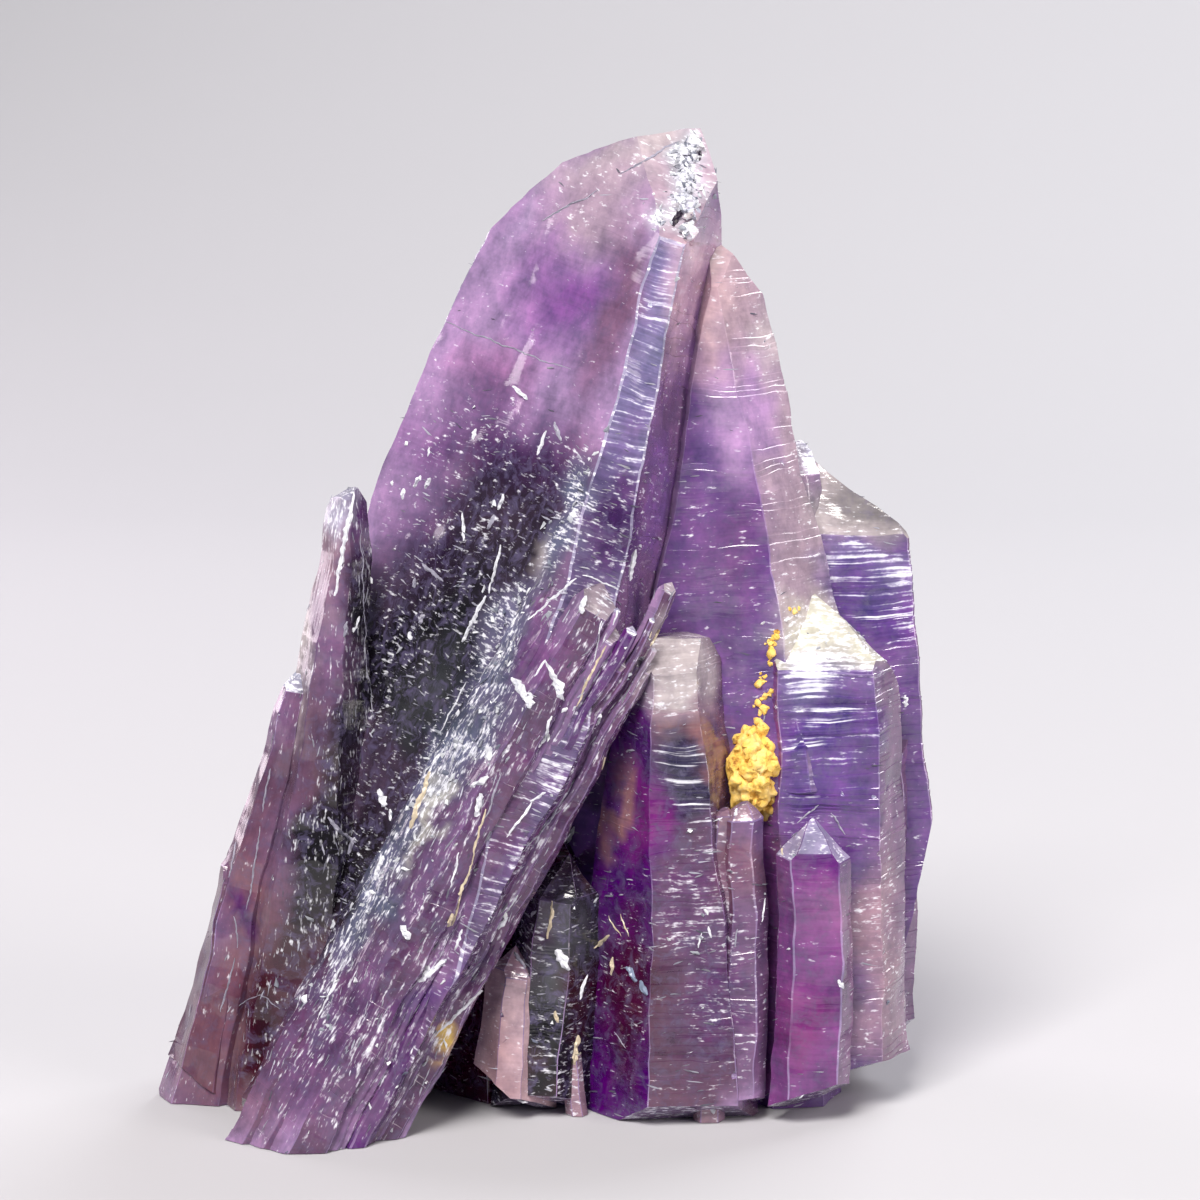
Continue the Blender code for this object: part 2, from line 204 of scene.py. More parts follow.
@dataclass(frozen=True)
class Crystal:
    """A quartz crystal: six walls closing in a little towards a pyramid of end faces.

    Attributes:
        name: what it is called, which also seeds its random values.
        tip: where the end faces with no raise meet.
        walls: distance of each wall from the axis at the tip's level, wall 0 first, towards +X.
        lean: from upright towards +X.
        back: from upright towards +Y.
        turn: direction of wall 0, from -Y towards +X.
        taper: how much each wall closes in towards the tip.
        raises: how far above the tip each end face crosses the axis.
        trims: worn or broken faces.
        ledges: the growth ledges.
        tints: what each wall shows.
        end: what the end faces show.
        streaks: which way the fine growth lines run.
        edge: width of the worn strip along each edge.
        worn: what that strip shows.
        unevenness: how far the walls swell and sink.
        buried: the depth below the tip where it ends inside its neighbours, or 0 if it reaches the base.
    """

    name: str
    tip: Spot
    walls: Six
    lean: float = 0.0
    back: float = 0.0
    turn: float = 0.0
    taper: Six = (2.0,) * WALLS
    raises: Six = (0.0,) * WALLS
    trims: tuple[Trim, ...] = ()
    ledges: Ledges = Ledges()
    tints: tuple[Tint, ...] = (Tint.VIOLET,) * WALLS
    end: Tint = Tint.LILAC
    streaks: Streaks = Streaks.ACROSS
    edge: float = 0.03
    worn: Tint = Tint.EDGE
    unevenness: float = 0.025
    buried: float = 0.0

    COLUMN = 1.1  # the width of a wall's faces
    ROW = 1.6  # their greatest height
    LIP = 0.035  # the height of a ledge's upper side
    FIRST_LEDGE = 0.15  # its depth below the tip
    GAPS = (0.35, 1.65)  # the distances between ledges, for their mean distance
    REACHES = (0.15, 1.0)  # how far ledges stand out, for their wall's reach, before the skew
    REACH_SKEW = 1.5
    SPARE = 1.0  # how far the grid runs past the ledges and above the end faces
    ROOM = 3.0  # what the tapers may add to the widest wall's distance
    SLOPE = 0.15  # how much deeper a foot may lie than the lean alone makes it, for that distance

    def frame(self) -> Matrix:
        """Turns the crystal's own frame upright to its lean, with its tip in place."""
        leaning = Matrix.Rotation(radians(self.lean), 4, "Y") @ Matrix.Rotation(radians(-self.back), 4, "X")
        return Matrix.Translation(self.tip) @ leaning

    def directions(self) -> list[tuple[Vector, Vector]]:
        """Each wall's outward direction and the direction along it, in the crystal's own frame."""
        angles = [radians(self.turn + WALL_STEP * wall) for wall in range(WALLS)]
        return [(Vector((sin(a), -cos(a), 0.0)), Vector((cos(a), sin(a), 0.0))) for a in angles]

    def length(self) -> float:
        """The depth below the tip at which the crystal has passed the base, or ends inside another."""
        if self.buried:
            return self.buried
        upright = cos(radians(self.lean)) * cos(radians(self.back))
        widest = max(self.walls) + self.ROOM
        return (self.tip[2] + BELOW_BASE) / upright + widest * (1.0 - upright + self.SLOPE)

    def levels(self, chance: random.Random) -> list[Pair]:
        """The depths of the crystal's sections.

        Args:
            chance: where its random values come from.

        Returns:
            Pairs of a depth and how far the ledges stand out there, from 0 to 1.
        """
        top, bottom = -max(self.raises) - self.SPARE, self.length()
        found = [(top, 0.0)]
        ledges = self.ledges
        depth = self.FIRST_LEDGE
        while ledges.spacing and depth < min(ledges.end, bottom - self.SPARE):
            found += [(depth, 0.0), (depth + self.LIP, chance.uniform(*self.REACHES) ** self.REACH_SKEW)]
            depth += ledges.spacing * chance.uniform(*self.GAPS)
        found.append((bottom, 0.0))
        filled = [found[0]]
        for before, after in zip(found, found[1:]):
            parts = ceil((after[0] - before[0]) / self.ROW)
            for part in range(1, parts + 1):
                share = part / parts
                filled.append(tuple(a + (b - a) * share for a, b in zip(before, after)))
        return filled

    def corners(self, depth: float) -> list[Pair]:
        """Where each wall starts and ends along its own direction at a depth.

        Args:
            depth: how far below the tip.

        Returns:
            The two ends for each wall.
        """
        reach = [wall + depth * tan(radians(taper)) for wall, taper in zip(self.walls, self.taper)]
        half, step = 1.0 / sin(radians(WALL_STEP)), cos(radians(WALL_STEP))
        found = []
        for wall in range(WALLS):
            before, after = reach[wall - 1], reach[(wall + 1) % WALLS]
            start = -(before - reach[wall] * step) * half
            finish = (after - reach[wall] * step) * half
            found.append((start, finish) if finish > start else ((start + finish) / 2,) * 2)
        return found


def crystal(name: str, tip: Spot, walls: float | Six, tint: Tint = Tint.VIOLET, taper: float | Six = 2.0,
            raises: float | Six = 0.0, ledges: tuple = (), tints: dict[int, Tint] | None = None,
            **others: object) -> Crystal:
    """Fills in a crystal whose walls, tapers, raises, ledges or tints are all the same.

    Args:
        name: what it is called.
        tip: where its end faces meet.
        walls: one distance for all walls, or one for each.
        tint: what its walls show.
        taper: one taper for all walls, or one for each.
        raises: one raise for all end faces, or one for each.
        ledges: one reach for all walls or one for each, then the other fields of Ledges.
        tints: for single walls' numbers, what they show instead.
        others: the crystal's other fields.

    Returns:
        The crystal.
    """
    def six(value: float | Six) -> Six:
        """Gives a single value to every wall."""
        return value if isinstance(value, tuple) else (value,) * WALLS

    shown = tuple((tints or {}).get(wall, tint) for wall in range(WALLS))
    grown = Ledges(six(ledges[0]), *ledges[1:]) if ledges else Ledges()
    return Crystal(name, tip, six(walls), taper=six(taper), raises=six(raises), ledges=grown, tints=shown,
                   **others)


LEANING = (
    crystal(
        "main", (6.84, 0.5, 48.9), (3.8, 2, 5.8, 7.2, 8.1, 2.64), lean=18, back=4, turn=10,
        taper=(4, 7.4, 1, 10, 10, 0.6), raises=(0, 3, 6, 6, 4.3, 9),
        trims=(Trim((6.84, 0.5, 48.95), (-0.2, 0.15, 0.97), Tint.FROST),
               Trim((7.6, 0, 48.4), (0.97, 0.12, 0.21), Tint.HAZE),
               Trim((0, 7.6, 28), (-0.17, 0.98, 0.08), Tint.VIOLET),
               Trim((-9, 5, 31.2), (-0.963, 0, 0.269), Tint.MAUVE),
               Trim((0.5, -4, 16), (0.87, -0.2, -0.45), Tint.SMOKE)),
        ledges=((0.1, 0.05, 0.05, 0.05, 0.05, 0.015), 0.62, 40),
        # Wall 0 carries a painted reflection: silvery blue-grey bands for the surroundings mirrored on the
        # striated face.
        # Wall 2's pale dusty tint is painted light that lifts the shade in the gap beside the tall crystal.
        tints={0: Tint.SILVER, 1: Tint.MAUVE, 2: Tint.DUSTY, 5: Tint.LILAC, 4: Tint.LILAC},
        end=Tint.DUSTY, edge=0.08, worn=Tint.RIM,
    ),
    crystal(
        "rib_bed", (2.4, -2.6, 28.5), (2.4, 3, 3.4, 4, 2.2, 1.6), lean=28.5, back=6, turn=10,
        taper=(0.5, 0.5, 0.5, 1, 1, 0.5), raises=(0, 1, 0, 1, 0, 1),
        trims=(Trim((-13.6, -8, 1.2), (-0.6, -0.35, -0.72)),),
        ledges=(0.06, 0.9, 34), tints={5: Tint.FROST},
        streaks=Streaks.ALONG, unevenness=0.07,
    ),
    crystal("edge_high", (-9.9, 0.7, 31.6), (0.8, 0.35, 0.9, 1.8, 1, 0.7), lean=4,
            taper=(4, 3.2, 3, 4, 7.2, 7.2), tint=Tint.MAUVE, tints={0: Tint.HAZE, 5: Tint.GREY},
            streaks=Streaks.ALONG, trims=(Trim((-10.2, 0.7, 30.9), (-0.35, -0.2, 0.9), Tint.FROST),),
            ledges=(0.01, 2.4), end=Tint.FROST),
    crystal("edge_middle", (-12.7, 1, 22.2), (1, 1, 2, 2, 0.3, 0.7), lean=13, turn=-10, taper=3.5,
            tint=Tint.MAUVE, streaks=Streaks.ALONG, ledges=(0.01, 2.4),
            trims=(Trim((-12.8, 0.9, 21.7), (-0.5, -0.2, 0.84), Tint.FROST),), end=Tint.FROST),
    crystal("edge_low", (-15.7, 1, 12.8), (1.2, 1, 2, 2, 0.3, 0.7), lean=10, turn=-10, taper=6,
            trims=(Trim((-17.5, 0, 0.8), (-0.55, -0.1, -0.83), Tint.ROSE),), tint=Tint.BROWN,
            streaks=Streaks.ALONG, ledges=(0.01, 2.4), end=Tint.MAUVE),
)

UPRIGHT = (
    crystal("tall", (8.45, 1, 43.3), (1.5, 0.6, 1.6, 3, 2.6, 0.5), lean=-3, turn=-12,
            taper=(3.8, 9, 9.6, 4, 5, 13), raises=(0, 2, 0, 2, 0, 2),
            ledges=((0.02, 0.05, 0.05, 0.04, 0.04, 0.02), 0.6, 26), buried=27,
            tints={1: Tint.DUSTY, 2: Tint.DUSTY, 5: Tint.LILAC}, end=Tint.GREY),
    crystal("tall_side", (12.2, 4, 33.2), (1.2, 1.3, 1.2, 2, 2, 2), lean=-1,
            taper=(3, 0.5, 2, 2, 2, 2), raises=(0, 0, 1, 2, 0, 2),
            ledges=(0.04, 0.5), end=Tint.FROST),
    crystal("right", (12.6, 5.5, 32.6), (3.1, 5.9, 3, 3, 3, 3), lean=-2,
            taper=(1.5, 3.2, 1.5, 1.5, 1.5, 1.5), raises=(0, 3.5, 0, 3, 0, 3),
            ledges=((0.08, 0.06, 0.06, 0.05, 0.05, 0.05), 0.42, 30),
            trims=(Trim((19.5, 5.5, 16), (0.98, 0.05, -0.19), Tint.MAUVE),
                   Trim((17.6, 2.5, 3.2), (0.45, -0.25, -0.86))),
            tints={1: Tint.MAUVE}, end=Tint.GREY),
    crystal("stout", (13.15, 0, 25.75), (2.5, 3.6, 3.5, 4, 1.7, 3), lean=-1, turn=3,
            taper=1, raises=(0, 2.4, 0, 2, 0, 1),
            ledges=((0.1, 0.05, 0.05, 0.05, 0.05, 0.05), 0.4, 24),
            trims=(Trim((12.9, 0, 25.6), (-0.44, -0.15, 0.88), Tint.CREAM),
                   Trim((13.7, 0, 25.5), (0.6, -0.2, 0.77), Tint.CREAM),
                   Trim((12.9, -2.3, 23.9), (-0.3, -0.75, 0.6), Tint.CREAM),
                   Trim((15.5, -2, 2.2), (0.3, -0.25, -0.92))),
            tints={1: Tint.MAUVE, 5: Tint.PLUM}, end=Tint.CREAM),
    crystal("flat", (6.3, -2.6, 25.6), (2.2, 1.25, 2, 3, 2, 2.6), turn=8,
            taper=(2, 6, 3, 6, 10, 1.3), raises=(0, 1, 0, 1, 0, 1),
            trims=(Trim((6.2, -2.6, 24.2), (0.03, 0.05, 1), Tint.GREY),
                   Trim((6.5, -5, 0.7), (0.05, -0.5, -0.86))),
            ledges=((0.06, 0.04, 0.03, 0.03, 0.03, 0.03), 0.45, 24),
            tints={0: Tint.BROWN, 1: Tint.BROWN, 5: Tint.DEEP_VIOLET}, end=Tint.GREY),
    crystal("small_right", (12.95, -4.2, 15.5), (1.1, 1.5, 1.6, 2, 1.6, 1.6), turn=4, taper=0.8,
            raises=(-0.3, -0.2, 0, 0, 0, 0),
            trims=(Trim((13.3, -5.2, 1.8), (0.28, -0.35, -0.9)),),
            ledges=((0.03, 0.03, 0.02, 0.02, 0.02, 0.02), 0.8, 15),
            tint=Tint.PLUM, tints={1: Tint.MAUVE}, end=Tint.RIM, edge=0.06),
    crystal("small_middle", (9.4, -4, 16.35), 0.9, taper=1,
            trims=(Trim((9.4, -5, 1.2), (0.15, -0.35, -0.92)),
                   Trim((9.4, -4.2, 16), (-0.3, -0.3, 0.9))),
            tint=Tint.MAUVE, tints={5: Tint.RUST},
            ledges=(0.02, 0.6), end=Tint.HAZE, edge=0.05),
    crystal("small_twin", (8.55, -4.1, 16), 0.45, lean=2, taper=1, tint=Tint.HAZE,
            trims=(Trim((8.6, -4.1, 15.8), (-0.3, -0.3, 0.9)),), end=Tint.HAZE),
    crystal("small_edge", (17.7, 3, 19.5), (1.4, 0.8, 1, 2, 2, 1), lean=1.5, taper=0.8,
            trims=(Trim((17.7, 2, 3.4), (0.4, -0.3, -0.86)),), tint=Tint.MAUVE,
            ledges=(0.03, 0.5), end=Tint.MAUVE),
    crystal("cleft_dark", (0.7, -2.2, 13.2), (1.6, 1.3, 2, 2.5, 2, 1.6), lean=5, turn=-5, taper=2.5,
            trims=(Trim((0.7, -4.2, 1.2), (0, -0.4, -0.9)),), end=Tint.SMOKE,
            tint=Tint.SMOKE, ledges=(0.01, 1.6)),
    crystal("cleft_pink", (-1.7, -3.2, 8.6), (1, 0.9, 2, 2, 1.2, 0.8), lean=4, taper=5,
            trims=(Trim((-2.6, -3, 1.5), (-0.6, -0.1, -0.79)),
                   Trim((-1.7, -4.8, 1.2), (0, -0.4, -0.9))),
            tint=Tint.BLUSH, end=Tint.HAZE),
    crystal("cleft_light", (0.95, -3, 3.8), 0.38, lean=-5, taper=2, tint=Tint.HAZE,
            trims=(Trim((1, -3.2, 3.2), (0.4, -0.5, 0.77), Tint.CREAM),), end=Tint.CREAM, edge=0.03),
)

HIDDEN = (
    crystal("core", (5, 3, 22), (4, 5, 5, 5, 5, 4), turn=20, taper=1),
    crystal("core_left", (-1.9, 3.1, 17), (3.4, 3.6, 4, 3.8, 3.8, 3.6), turn=14, taper=1,
            tint=Tint.SHADOW, tints={3: Tint.MAUVE}, end=Tint.SHADOW),
    crystal("core_back", (4, 8.6, 16), 1.8, turn=25, taper=1),
    crystal("core_right", (12, 0.8, 16), (2.4, 2.2, 2.2, 2, 2.2, 2), turn=8, taper=1),
)

BACK_LEDGES = (0.05, 0.55)

BACK = (
    crystal("back_middle", (2, 6.6, 27.5), (3.3, 3, 2.9, 2.8, 3, 3.4), lean=4, back=-2, turn=6,
            raises=(0, 1.5, 0, 1.5, 0, 1.5), ledges=BACK_LEDGES, end=Tint.SILVER),
    crystal("back_right", (8.2, 8.2, 23), (3, 2.8, 2.6, 3, 2.7, 3.2), lean=-2, back=-3, turn=-8,
            raises=(1.2, 0, 1.2, 0, 1.2, 0), ledges=BACK_LEDGES, tints={3: Tint.LILAC},
            end=Tint.FROST),
    crystal("back_left", (-4.8, 7.2, 19.5), (3, 2.8, 2.4, 2.6, 2.8, 3), lean=13, back=-2, turn=12,
            raises=(0, 1, 0, 1, 0, 1), ledges=BACK_LEDGES, tint=Tint.LILAC, tints={3: Tint.VIOLET},
            end=Tint.HAZE),
    crystal("back_edge", (13.2, 9.4, 16.5), (2.2, 2, 1.9, 2, 2.2, 2.2), lean=-4, back=-3, turn=4,
            ledges=BACK_LEDGES, tints={2: Tint.PLUM}, end=Tint.SILVER),
    crystal("back_low", (-10.6, 6, 13.5), (2.2, 2, 1.8, 2, 2, 2.2), lean=17, back=-1, turn=-6,
            ledges=BACK_LEDGES, tint=Tint.MAUVE, end=Tint.HAZE),
    crystal("back_small", (4.9, 10.4, 11.5), (1.5, 1.4, 1.3, 1.4, 1.5, 1.6), lean=2, back=-5, turn=15,
            ledges=BACK_LEDGES, end=Tint.LILAC),
    crystal("back_tiny", (-1.2, 9.8, 8.6), (1.2, 1.1, 1.2, 1.2, 1.1, 1.2), lean=7, back=-6, turn=-10,
            ledges=BACK_LEDGES, tint=Tint.LILAC, end=Tint.FROST),
)


def wire(tree: NodeTree, node: Node, inputs: dict[str | int, object]) -> Node:
    """Sets and links a node's inputs.

    Args:
        tree: the tree it is in.
        node: the node.
        inputs: for each input's name or number, a value, a socket to link to it, or a node whose first
            output is linked to it.

    Returns:
        The node.
    """
    for name, value in inputs.items():
        if isinstance(value, Node):
            value = value.outputs[0]
        if isinstance(value, NodeSocket):
            tree.links.new(value, node.inputs[name])
        else:
            node.inputs[name].default_value = value
    return node


def add_node(tree: NodeTree, kind: str, inputs: dict[str | int, object] | None = None,
             **settings: object) -> Node:
    """Adds a node, sets it up and wires it.

    Args:
        tree: the tree it goes into.
        kind: the node's type.
        inputs: what wire takes.
        settings: the node's own settings.

    Returns:
        The node.
    """
    node = tree.nodes.new(kind)
    for name, value in settings.items():
        setattr(node, name, value)
    return wire(tree, node, inputs or {})


def new_material(name: str) -> tuple[Material, NodeTree, Node]:
    """Starts a material, and returns it, its tree and its Principled shader."""
    made = bpy.data.materials.new(name)
    made.use_nodes = True
    return made, made.node_tree, made.node_tree.nodes["Principled BSDF"]


@contextmanager
def opened(mesh: Mesh) -> Iterator[BMesh]:
    """Opens a mesh for editing, and writes it back afterwards."""
    bm = bmesh.new()
    bm.from_mesh(mesh)
    yield bm
    bm.to_mesh(mesh)
    bm.free()


def long_edges(bm: BMesh, longest: float) -> list[BMEdge]:
    """Finds the edges longer than a length in millimetres, in a mesh in metres."""
    return [edge for edge in bm.edges if edge.calc_length() > longest * MM]


def halve(bm: BMesh, edges: Sequence[BMEdge]) -> None:
    """Halves edges, and leaves triangles."""
    bmesh.ops.subdivide_edges(bm, edges=edges, cuts=1)
    bmesh.ops.triangulate(bm, faces=bm.faces[:])


class Layer(Enum):
    """The mesh layers that tell the materials and the scatters what each face is."""

    GRAIN = "grain"
    TINT = "tint"
    CHARACTER = "character"
    FLOW = "flow"
    FLECKS = "flecks"
    CRUMBS = "crumbs"
    SHADE = "shade"


class Shape:
    """A closed mesh in millimetres under construction, whose faces carry what the material shows there."""

    TINTS = tuple(Tint)
    LEVEL = 0.05  # a plane more level than this gets +X as its level direction
    NEAR = 1e-5  # corners nearer to a cut's plane than this lie in it

    def __init__(self) -> None:
        """Starts an empty mesh with its layers."""
        self.bm: BMesh = bmesh.new()
        self.tint = self.bm.faces.layers.int.new(Layer.TINT.value)
        self.grain = self.bm.loops.layers.uv.new(Layer.GRAIN.value)

    def dress_flat(self, faces: Iterable[BMFace], tint: Tint, normal: Vector, shift: float) -> None:
        """Gives flat faces a tint, and lays their grain along the level direction of their plane.

        Args:
            faces: the faces.
            tint: what they show.
            normal: their plane's direction.
            shift: keeps the grain of one crystal apart from the others'.
        """
        level = normal.cross(UP)
        level = level.normalized() if level.length > self.LEVEL else Vector((1.0, 0.0, 0.0))
        slope = normal.cross(level)
        for face in faces:
            face[self.tint] = self.TINTS.index(tint)
            for corner in face.loops:
                corner[self.grain].uv = (corner.vert.co.dot(level) + shift, corner.vert.co.dot(slope))

    def cut(self, point: Vector, normal: Vector, tint: Tint, shift: float) -> None:
        """Cuts away what lies beyond a plane and closes the cut.

        Args:
            point: a point of the plane.
            normal: the plane's direction, facing out.
            tint: what the new face shows.
            shift: keeps the grain of one crystal apart from the others'.
        """
        bm = self.bm
        made = bmesh.ops.bisect_plane(bm, geom=bm.verts[:] + bm.edges[:] + bm.faces[:], dist=self.NEAR,
                                      plane_co=point, plane_no=normal, clear_outer=True)
        rim = [item for item in made["geom_cut"] if isinstance(item, BMEdge)]
        if rim:
            filled = bmesh.ops.edgenet_fill(bm, edges=rim)
            self.dress_flat(filled["faces"], tint, normal, shift)

    def mesh(self, name: str) -> Mesh:
        """Makes a triangulated mesh in metres of it, and frees it.

        Args:
            name: what the mesh is called.

        Returns:
            The mesh.
        """
        bm = self.bm
        bmesh.ops.recalc_face_normals(bm, faces=bm.faces[:])
        bmesh.ops.triangulate(bm, faces=bm.faces[:])
        bmesh.ops.transform(bm, matrix=Matrix.Scale(MM, 4) @ Matrix.Translation(-MIDDLE), verts=bm.verts[:])
        made = bpy.data.meshes.new(name)
        bm.to_mesh(made)
        bm.free()
        return made


@dataclass
class CrystalGrower:
    """Grows one crystal's mesh: a closed grid of rows across its walls, cut by its end faces.

    Attributes:
        one: the crystal.
        number: its place in the specimen, which sets its foot and its grain apart.
    """

    one: Crystal
    number: int

    RIPPLE = 0.33  # the ledges swing up and down at this rate, in waves a millimetre
    SWING = 0.22  # by this much
    QUICK = (1.3, 0.4)  # and again at this rate, by this share of it
    SWELL = 0.35  # the walls swell and sink at this rate
    QUICK_SWELL = (1.1, 0.35)
    FADE = 0.45  # the ledges come and go along a wall at this rate
    SHARES = (0.1, 0.75, 1.1)  # their least share of their reach, its mean and how much it varies
    EDGE_STRAY = 0.6  # how much the worn strips' width varies
    LEAST_EDGE = 0.012
    WIDEST_EDGE = 0.2  # of the wall's width
    STRIP_GRAIN = 0.1  # the grain's change across a worn strip
    END_EDGE = 0.8  # the width of the strips between end faces, for the others'
    GRAIN_STEP = 61.0  # from one crystal's grain to the next one's
    WALL_GRAIN = 17.0  # from one wall's grain to the next one's
    FAR = 50.0  # how far from the origin the noise may be read

    def grow(self) -> Shape:
        """Returns the crystal, closed, from its tip to just below the base."""
        one = self.one
        chance = random.Random(one.name)
        self.offset = Vector([chance.uniform(-self.FAR, self.FAR) for _ in range(3)])
        self.shift = self.number * self.GRAIN_STEP
        shape = Shape()
        self.walls(shape, chance)
        self.end_faces(shape)
        bmesh.ops.transform(shape.bm, matrix=one.frame(), verts=shape.bm.verts[:])
        foot = Vector((0.0, 0.0, -BELOW_BASE + FOOT_STEP * self.number % 1.0))
        shape.cut(foot, Vector((0.0, 0.0, -1.0)), Tint.BROKEN, self.shift)
        for trim in one.trims:
            shape.cut(Vector(trim.point), Vector(trim.normal).normalized(), trim.tint, self.shift)
        return shape

    def walls(self, shape: Shape, chance: random.Random) -> None:
        """Makes the closed grid of the six walls and the worn strips between them.

        Args:
            shape: what they go into.
            chance: where the random values come from.
        """
        one = self.one
        directions = one.directions()
        middle = one.corners(one.length() / 2)
        columns = [max(1, round((finish - start) / one.COLUMN)) for start, finish in middle]
        rings = []
        for depth, out in one.levels(chance):
            ring = []
            for wall, (start, finish) in enumerate(one.corners(depth)):
                outward, along = directions[wall]
                reach = one.walls[wall] + depth * tan(radians(one.taper[wall]))
                spot = self.offset + along * start + outward * reach
                stray = noise.noise((spot - UP * depth) * self.QUICK[0])
                worn = max(self.LEAST_EDGE, one.edge * (1.0 + self.EDGE_STRAY * stray))
                worn = min(worn, self.WIDEST_EDGE * (finish - start))
                for column in range(columns[wall] + 1):
                    across = start + worn + (finish - start - 2.0 * worn) * column / columns[wall]
                    ring.append(self.corner(wall, outward, along, reach, across, depth, out))
            rings.append(ring)
        self.faces(shape, rings, columns)

    def corner(self, wall: int, outward: Vector, along: Vector, reach: float, across: float,
               depth: float, out: float) -> tuple[Vector, float, float]:
        """Places one corner of the grid.

        Args:
            wall: which wall it is on.
            outward: that wall's direction.
            along: the level direction along it.
            reach: the wall's distance from the axis.
            across: how far along the wall the corner is.
            depth: how far below the tip.
            out: how far the ledges stand out there, from 0 to 1.

        Returns:
            Its place, and its grain across and down the wall.
        """
        one = self.one
        spot = outward * reach + along * across + Vector((0.0, 0.0, -depth))
        seen = spot + self.offset

        def waves(slow: float, quick: float, share: float) -> float:
            """Adds a share of quick waves to slow ones."""
            return noise.noise(seen * slow) + share * noise.noise(seen * quick)

        least, mean, spread = self.SHARES
        share = min(1.0, max(least, mean + spread * noise.noise(seen * self.FADE)))
        swell = one.unevenness * waves(self.SWELL, *self.QUICK_SWELL)
        swing = self.SWING * waves(self.RIPPLE, *self.QUICK)
        spot += outward * (out * one.ledges.reach[wall] * share + swell) + Vector((0.0, 0.0, swing))
        return spot, across + wall * self.WALL_GRAIN + self.shift, depth

    def faces(self, shape: Shape, rings: list, columns: list[int]) -> None:
        """Joins the rings with faces, each dressed as its wall or as a worn strip.

        Args:
            shape: what they go into.
            rings: the corners at each level, from the tip down.
            columns: how many faces each wall is wide.
        """
        one = self.one
        bm = shape.bm
        owners = []
        for wall, count in enumerate(columns):
            owners += [one.tints[wall]] * count + [one.worn]
        corners = [[bm.verts.new(spot) for spot, _, _ in ring] for ring in rings]
        total = len(owners)
        for upper in range(len(rings) - 1):
            for place, tint in enumerate(owners):
                after = (place + 1) % total
                order = ((upper, place), (upper, after), (upper + 1, after), (upper + 1, place))
                face = bm.faces.new([corners[ring][spot] for ring, spot in order])
                face[shape.tint] = shape.TINTS.index(tint)
                for corner, (ring, spot) in zip(face.loops, order):
                    across, down = rings[ring][spot][1:]
                    if tint is one.worn:
                        across = rings[ring][place][1] + (self.STRIP_GRAIN if spot == after else 0.0)
                    flow = (across, down) if one.streaks is Streaks.ACROSS else (down, across)
                    corner[shape.grain].uv = flow
        bm.faces.new(corners[0])
        bm.faces.new(corners[-1])
        bmesh.ops.recalc_face_normals(bm, faces=bm.faces[:])

    def end_faces(self, shape: Shape) -> None:
        """Cuts the six end faces, and the worn strips along their edges.

        Args:
            shape: the crystal's walls.
        """
        one = self.one
        rise = radians(END_FACE_RISE)
        planes = []
        for (outward, _), height in zip(one.directions(), one.raises):
            normal = outward * cos(rise) + Vector((0.0, 0.0, sin(rise)))
            planes.append((normal, height * sin(rise)))
            shape.cut(Vector((0.0, 0.0, height)), normal, one.end, self.shift)
        for wall, (normal, distance) in enumerate(planes):
            beside = planes[(wall + 1) % WALLS]
            self.wear(shape, (normal, distance), beside, self.END_EDGE)
            outward = one.directions()[wall][0]
            taper = radians(one.taper[wall])
            side = (outward * cos(taper) + Vector((0.0, 0.0, sin(taper))), one.walls[wall] * cos(taper))
            self.wear(shape, (normal, distance), side, 1.0)

    def wear(self, shape: Shape, first: tuple[Vector, float], second: tuple[Vector, float],
             share: float) -> None:
        """Cuts a narrow worn strip along the edge where two planes meet.

        Args:
            shape: the crystal.
            first: a plane's direction and its distance from the tip.
            second: the other plane's.
            share: how wide the strip is, for the crystal's edges.
        """
        both = first[0] + second[0]
        angle = first[0].angle(second[0])
        depth = self.one.edge * share * 0.5 * tan(angle / 2)
        normal = both.normalized()
        shape.cut(normal * ((first[1] + second[1]) / both.length - depth), normal, self.one.worn,
                  self.shift)


def object_of(mesh: Mesh) -> Object:
    """Links an object for a mesh, at the origin."""
    made = bpy.data.objects.new(mesh.name, mesh)
    bpy.context.scene.collection.objects.link(made)
    return made


def geometry_tree(name: str, **inputs: str) -> tuple[GeometryNodeTree, Node]:
    """Starts a Geometry Nodes tree that takes and gives geometry.

    Args:
        name: what the tree is called.
        inputs: for each other input's name, its kind, such as Float.

    Returns:
        The tree and its input node.
    """
    tree = bpy.data.node_groups.new(name, "GeometryNodeTree")
    for given, kind in {"Geometry": "Geometry", **inputs}.items():
        tree.interface.new_socket(given, in_out="INPUT", socket_type=f"NodeSocket{kind}")
    tree.interface.new_socket("Geometry", in_out="OUTPUT", socket_type="NodeSocketGeometry")
    return tree, add_node(tree, "NodeGroupInput")


def run_tree(tree: GeometryNodeTree, mesh: Mesh, name: str, **values: object) -> Mesh:
    """Runs a tree on a mesh, and returns the plain mesh that it gives.

    Args:
        tree: the tree, which is removed afterwards.
        mesh: what it starts from.
        name: what the result is called.
        values: for each input's name, its value.

    Returns:
        The new mesh.
    """
    holder = object_of(mesh)
    modifier = holder.modifiers.new("grow", "NODES")
    modifier.node_group = tree
    for socket in tree.interface.items_tree:
        if socket.in_out == "INPUT" and socket.name in values:
            modifier[socket.identifier] = values[socket.name]
    graph = bpy.context.evaluated_depsgraph_get()
    made = bpy.data.meshes.new_from_object(holder.evaluated_get(graph), depsgraph=graph)
    made.name = name
    drop([holder])
    bpy.data.node_groups.remove(tree)
    return made


def drop(objects: Iterable[Object]) -> None:
    """Removes objects that are only needed while a piece is made."""
    for item in objects:
        bpy.data.objects.remove(item, do_unlink=True)


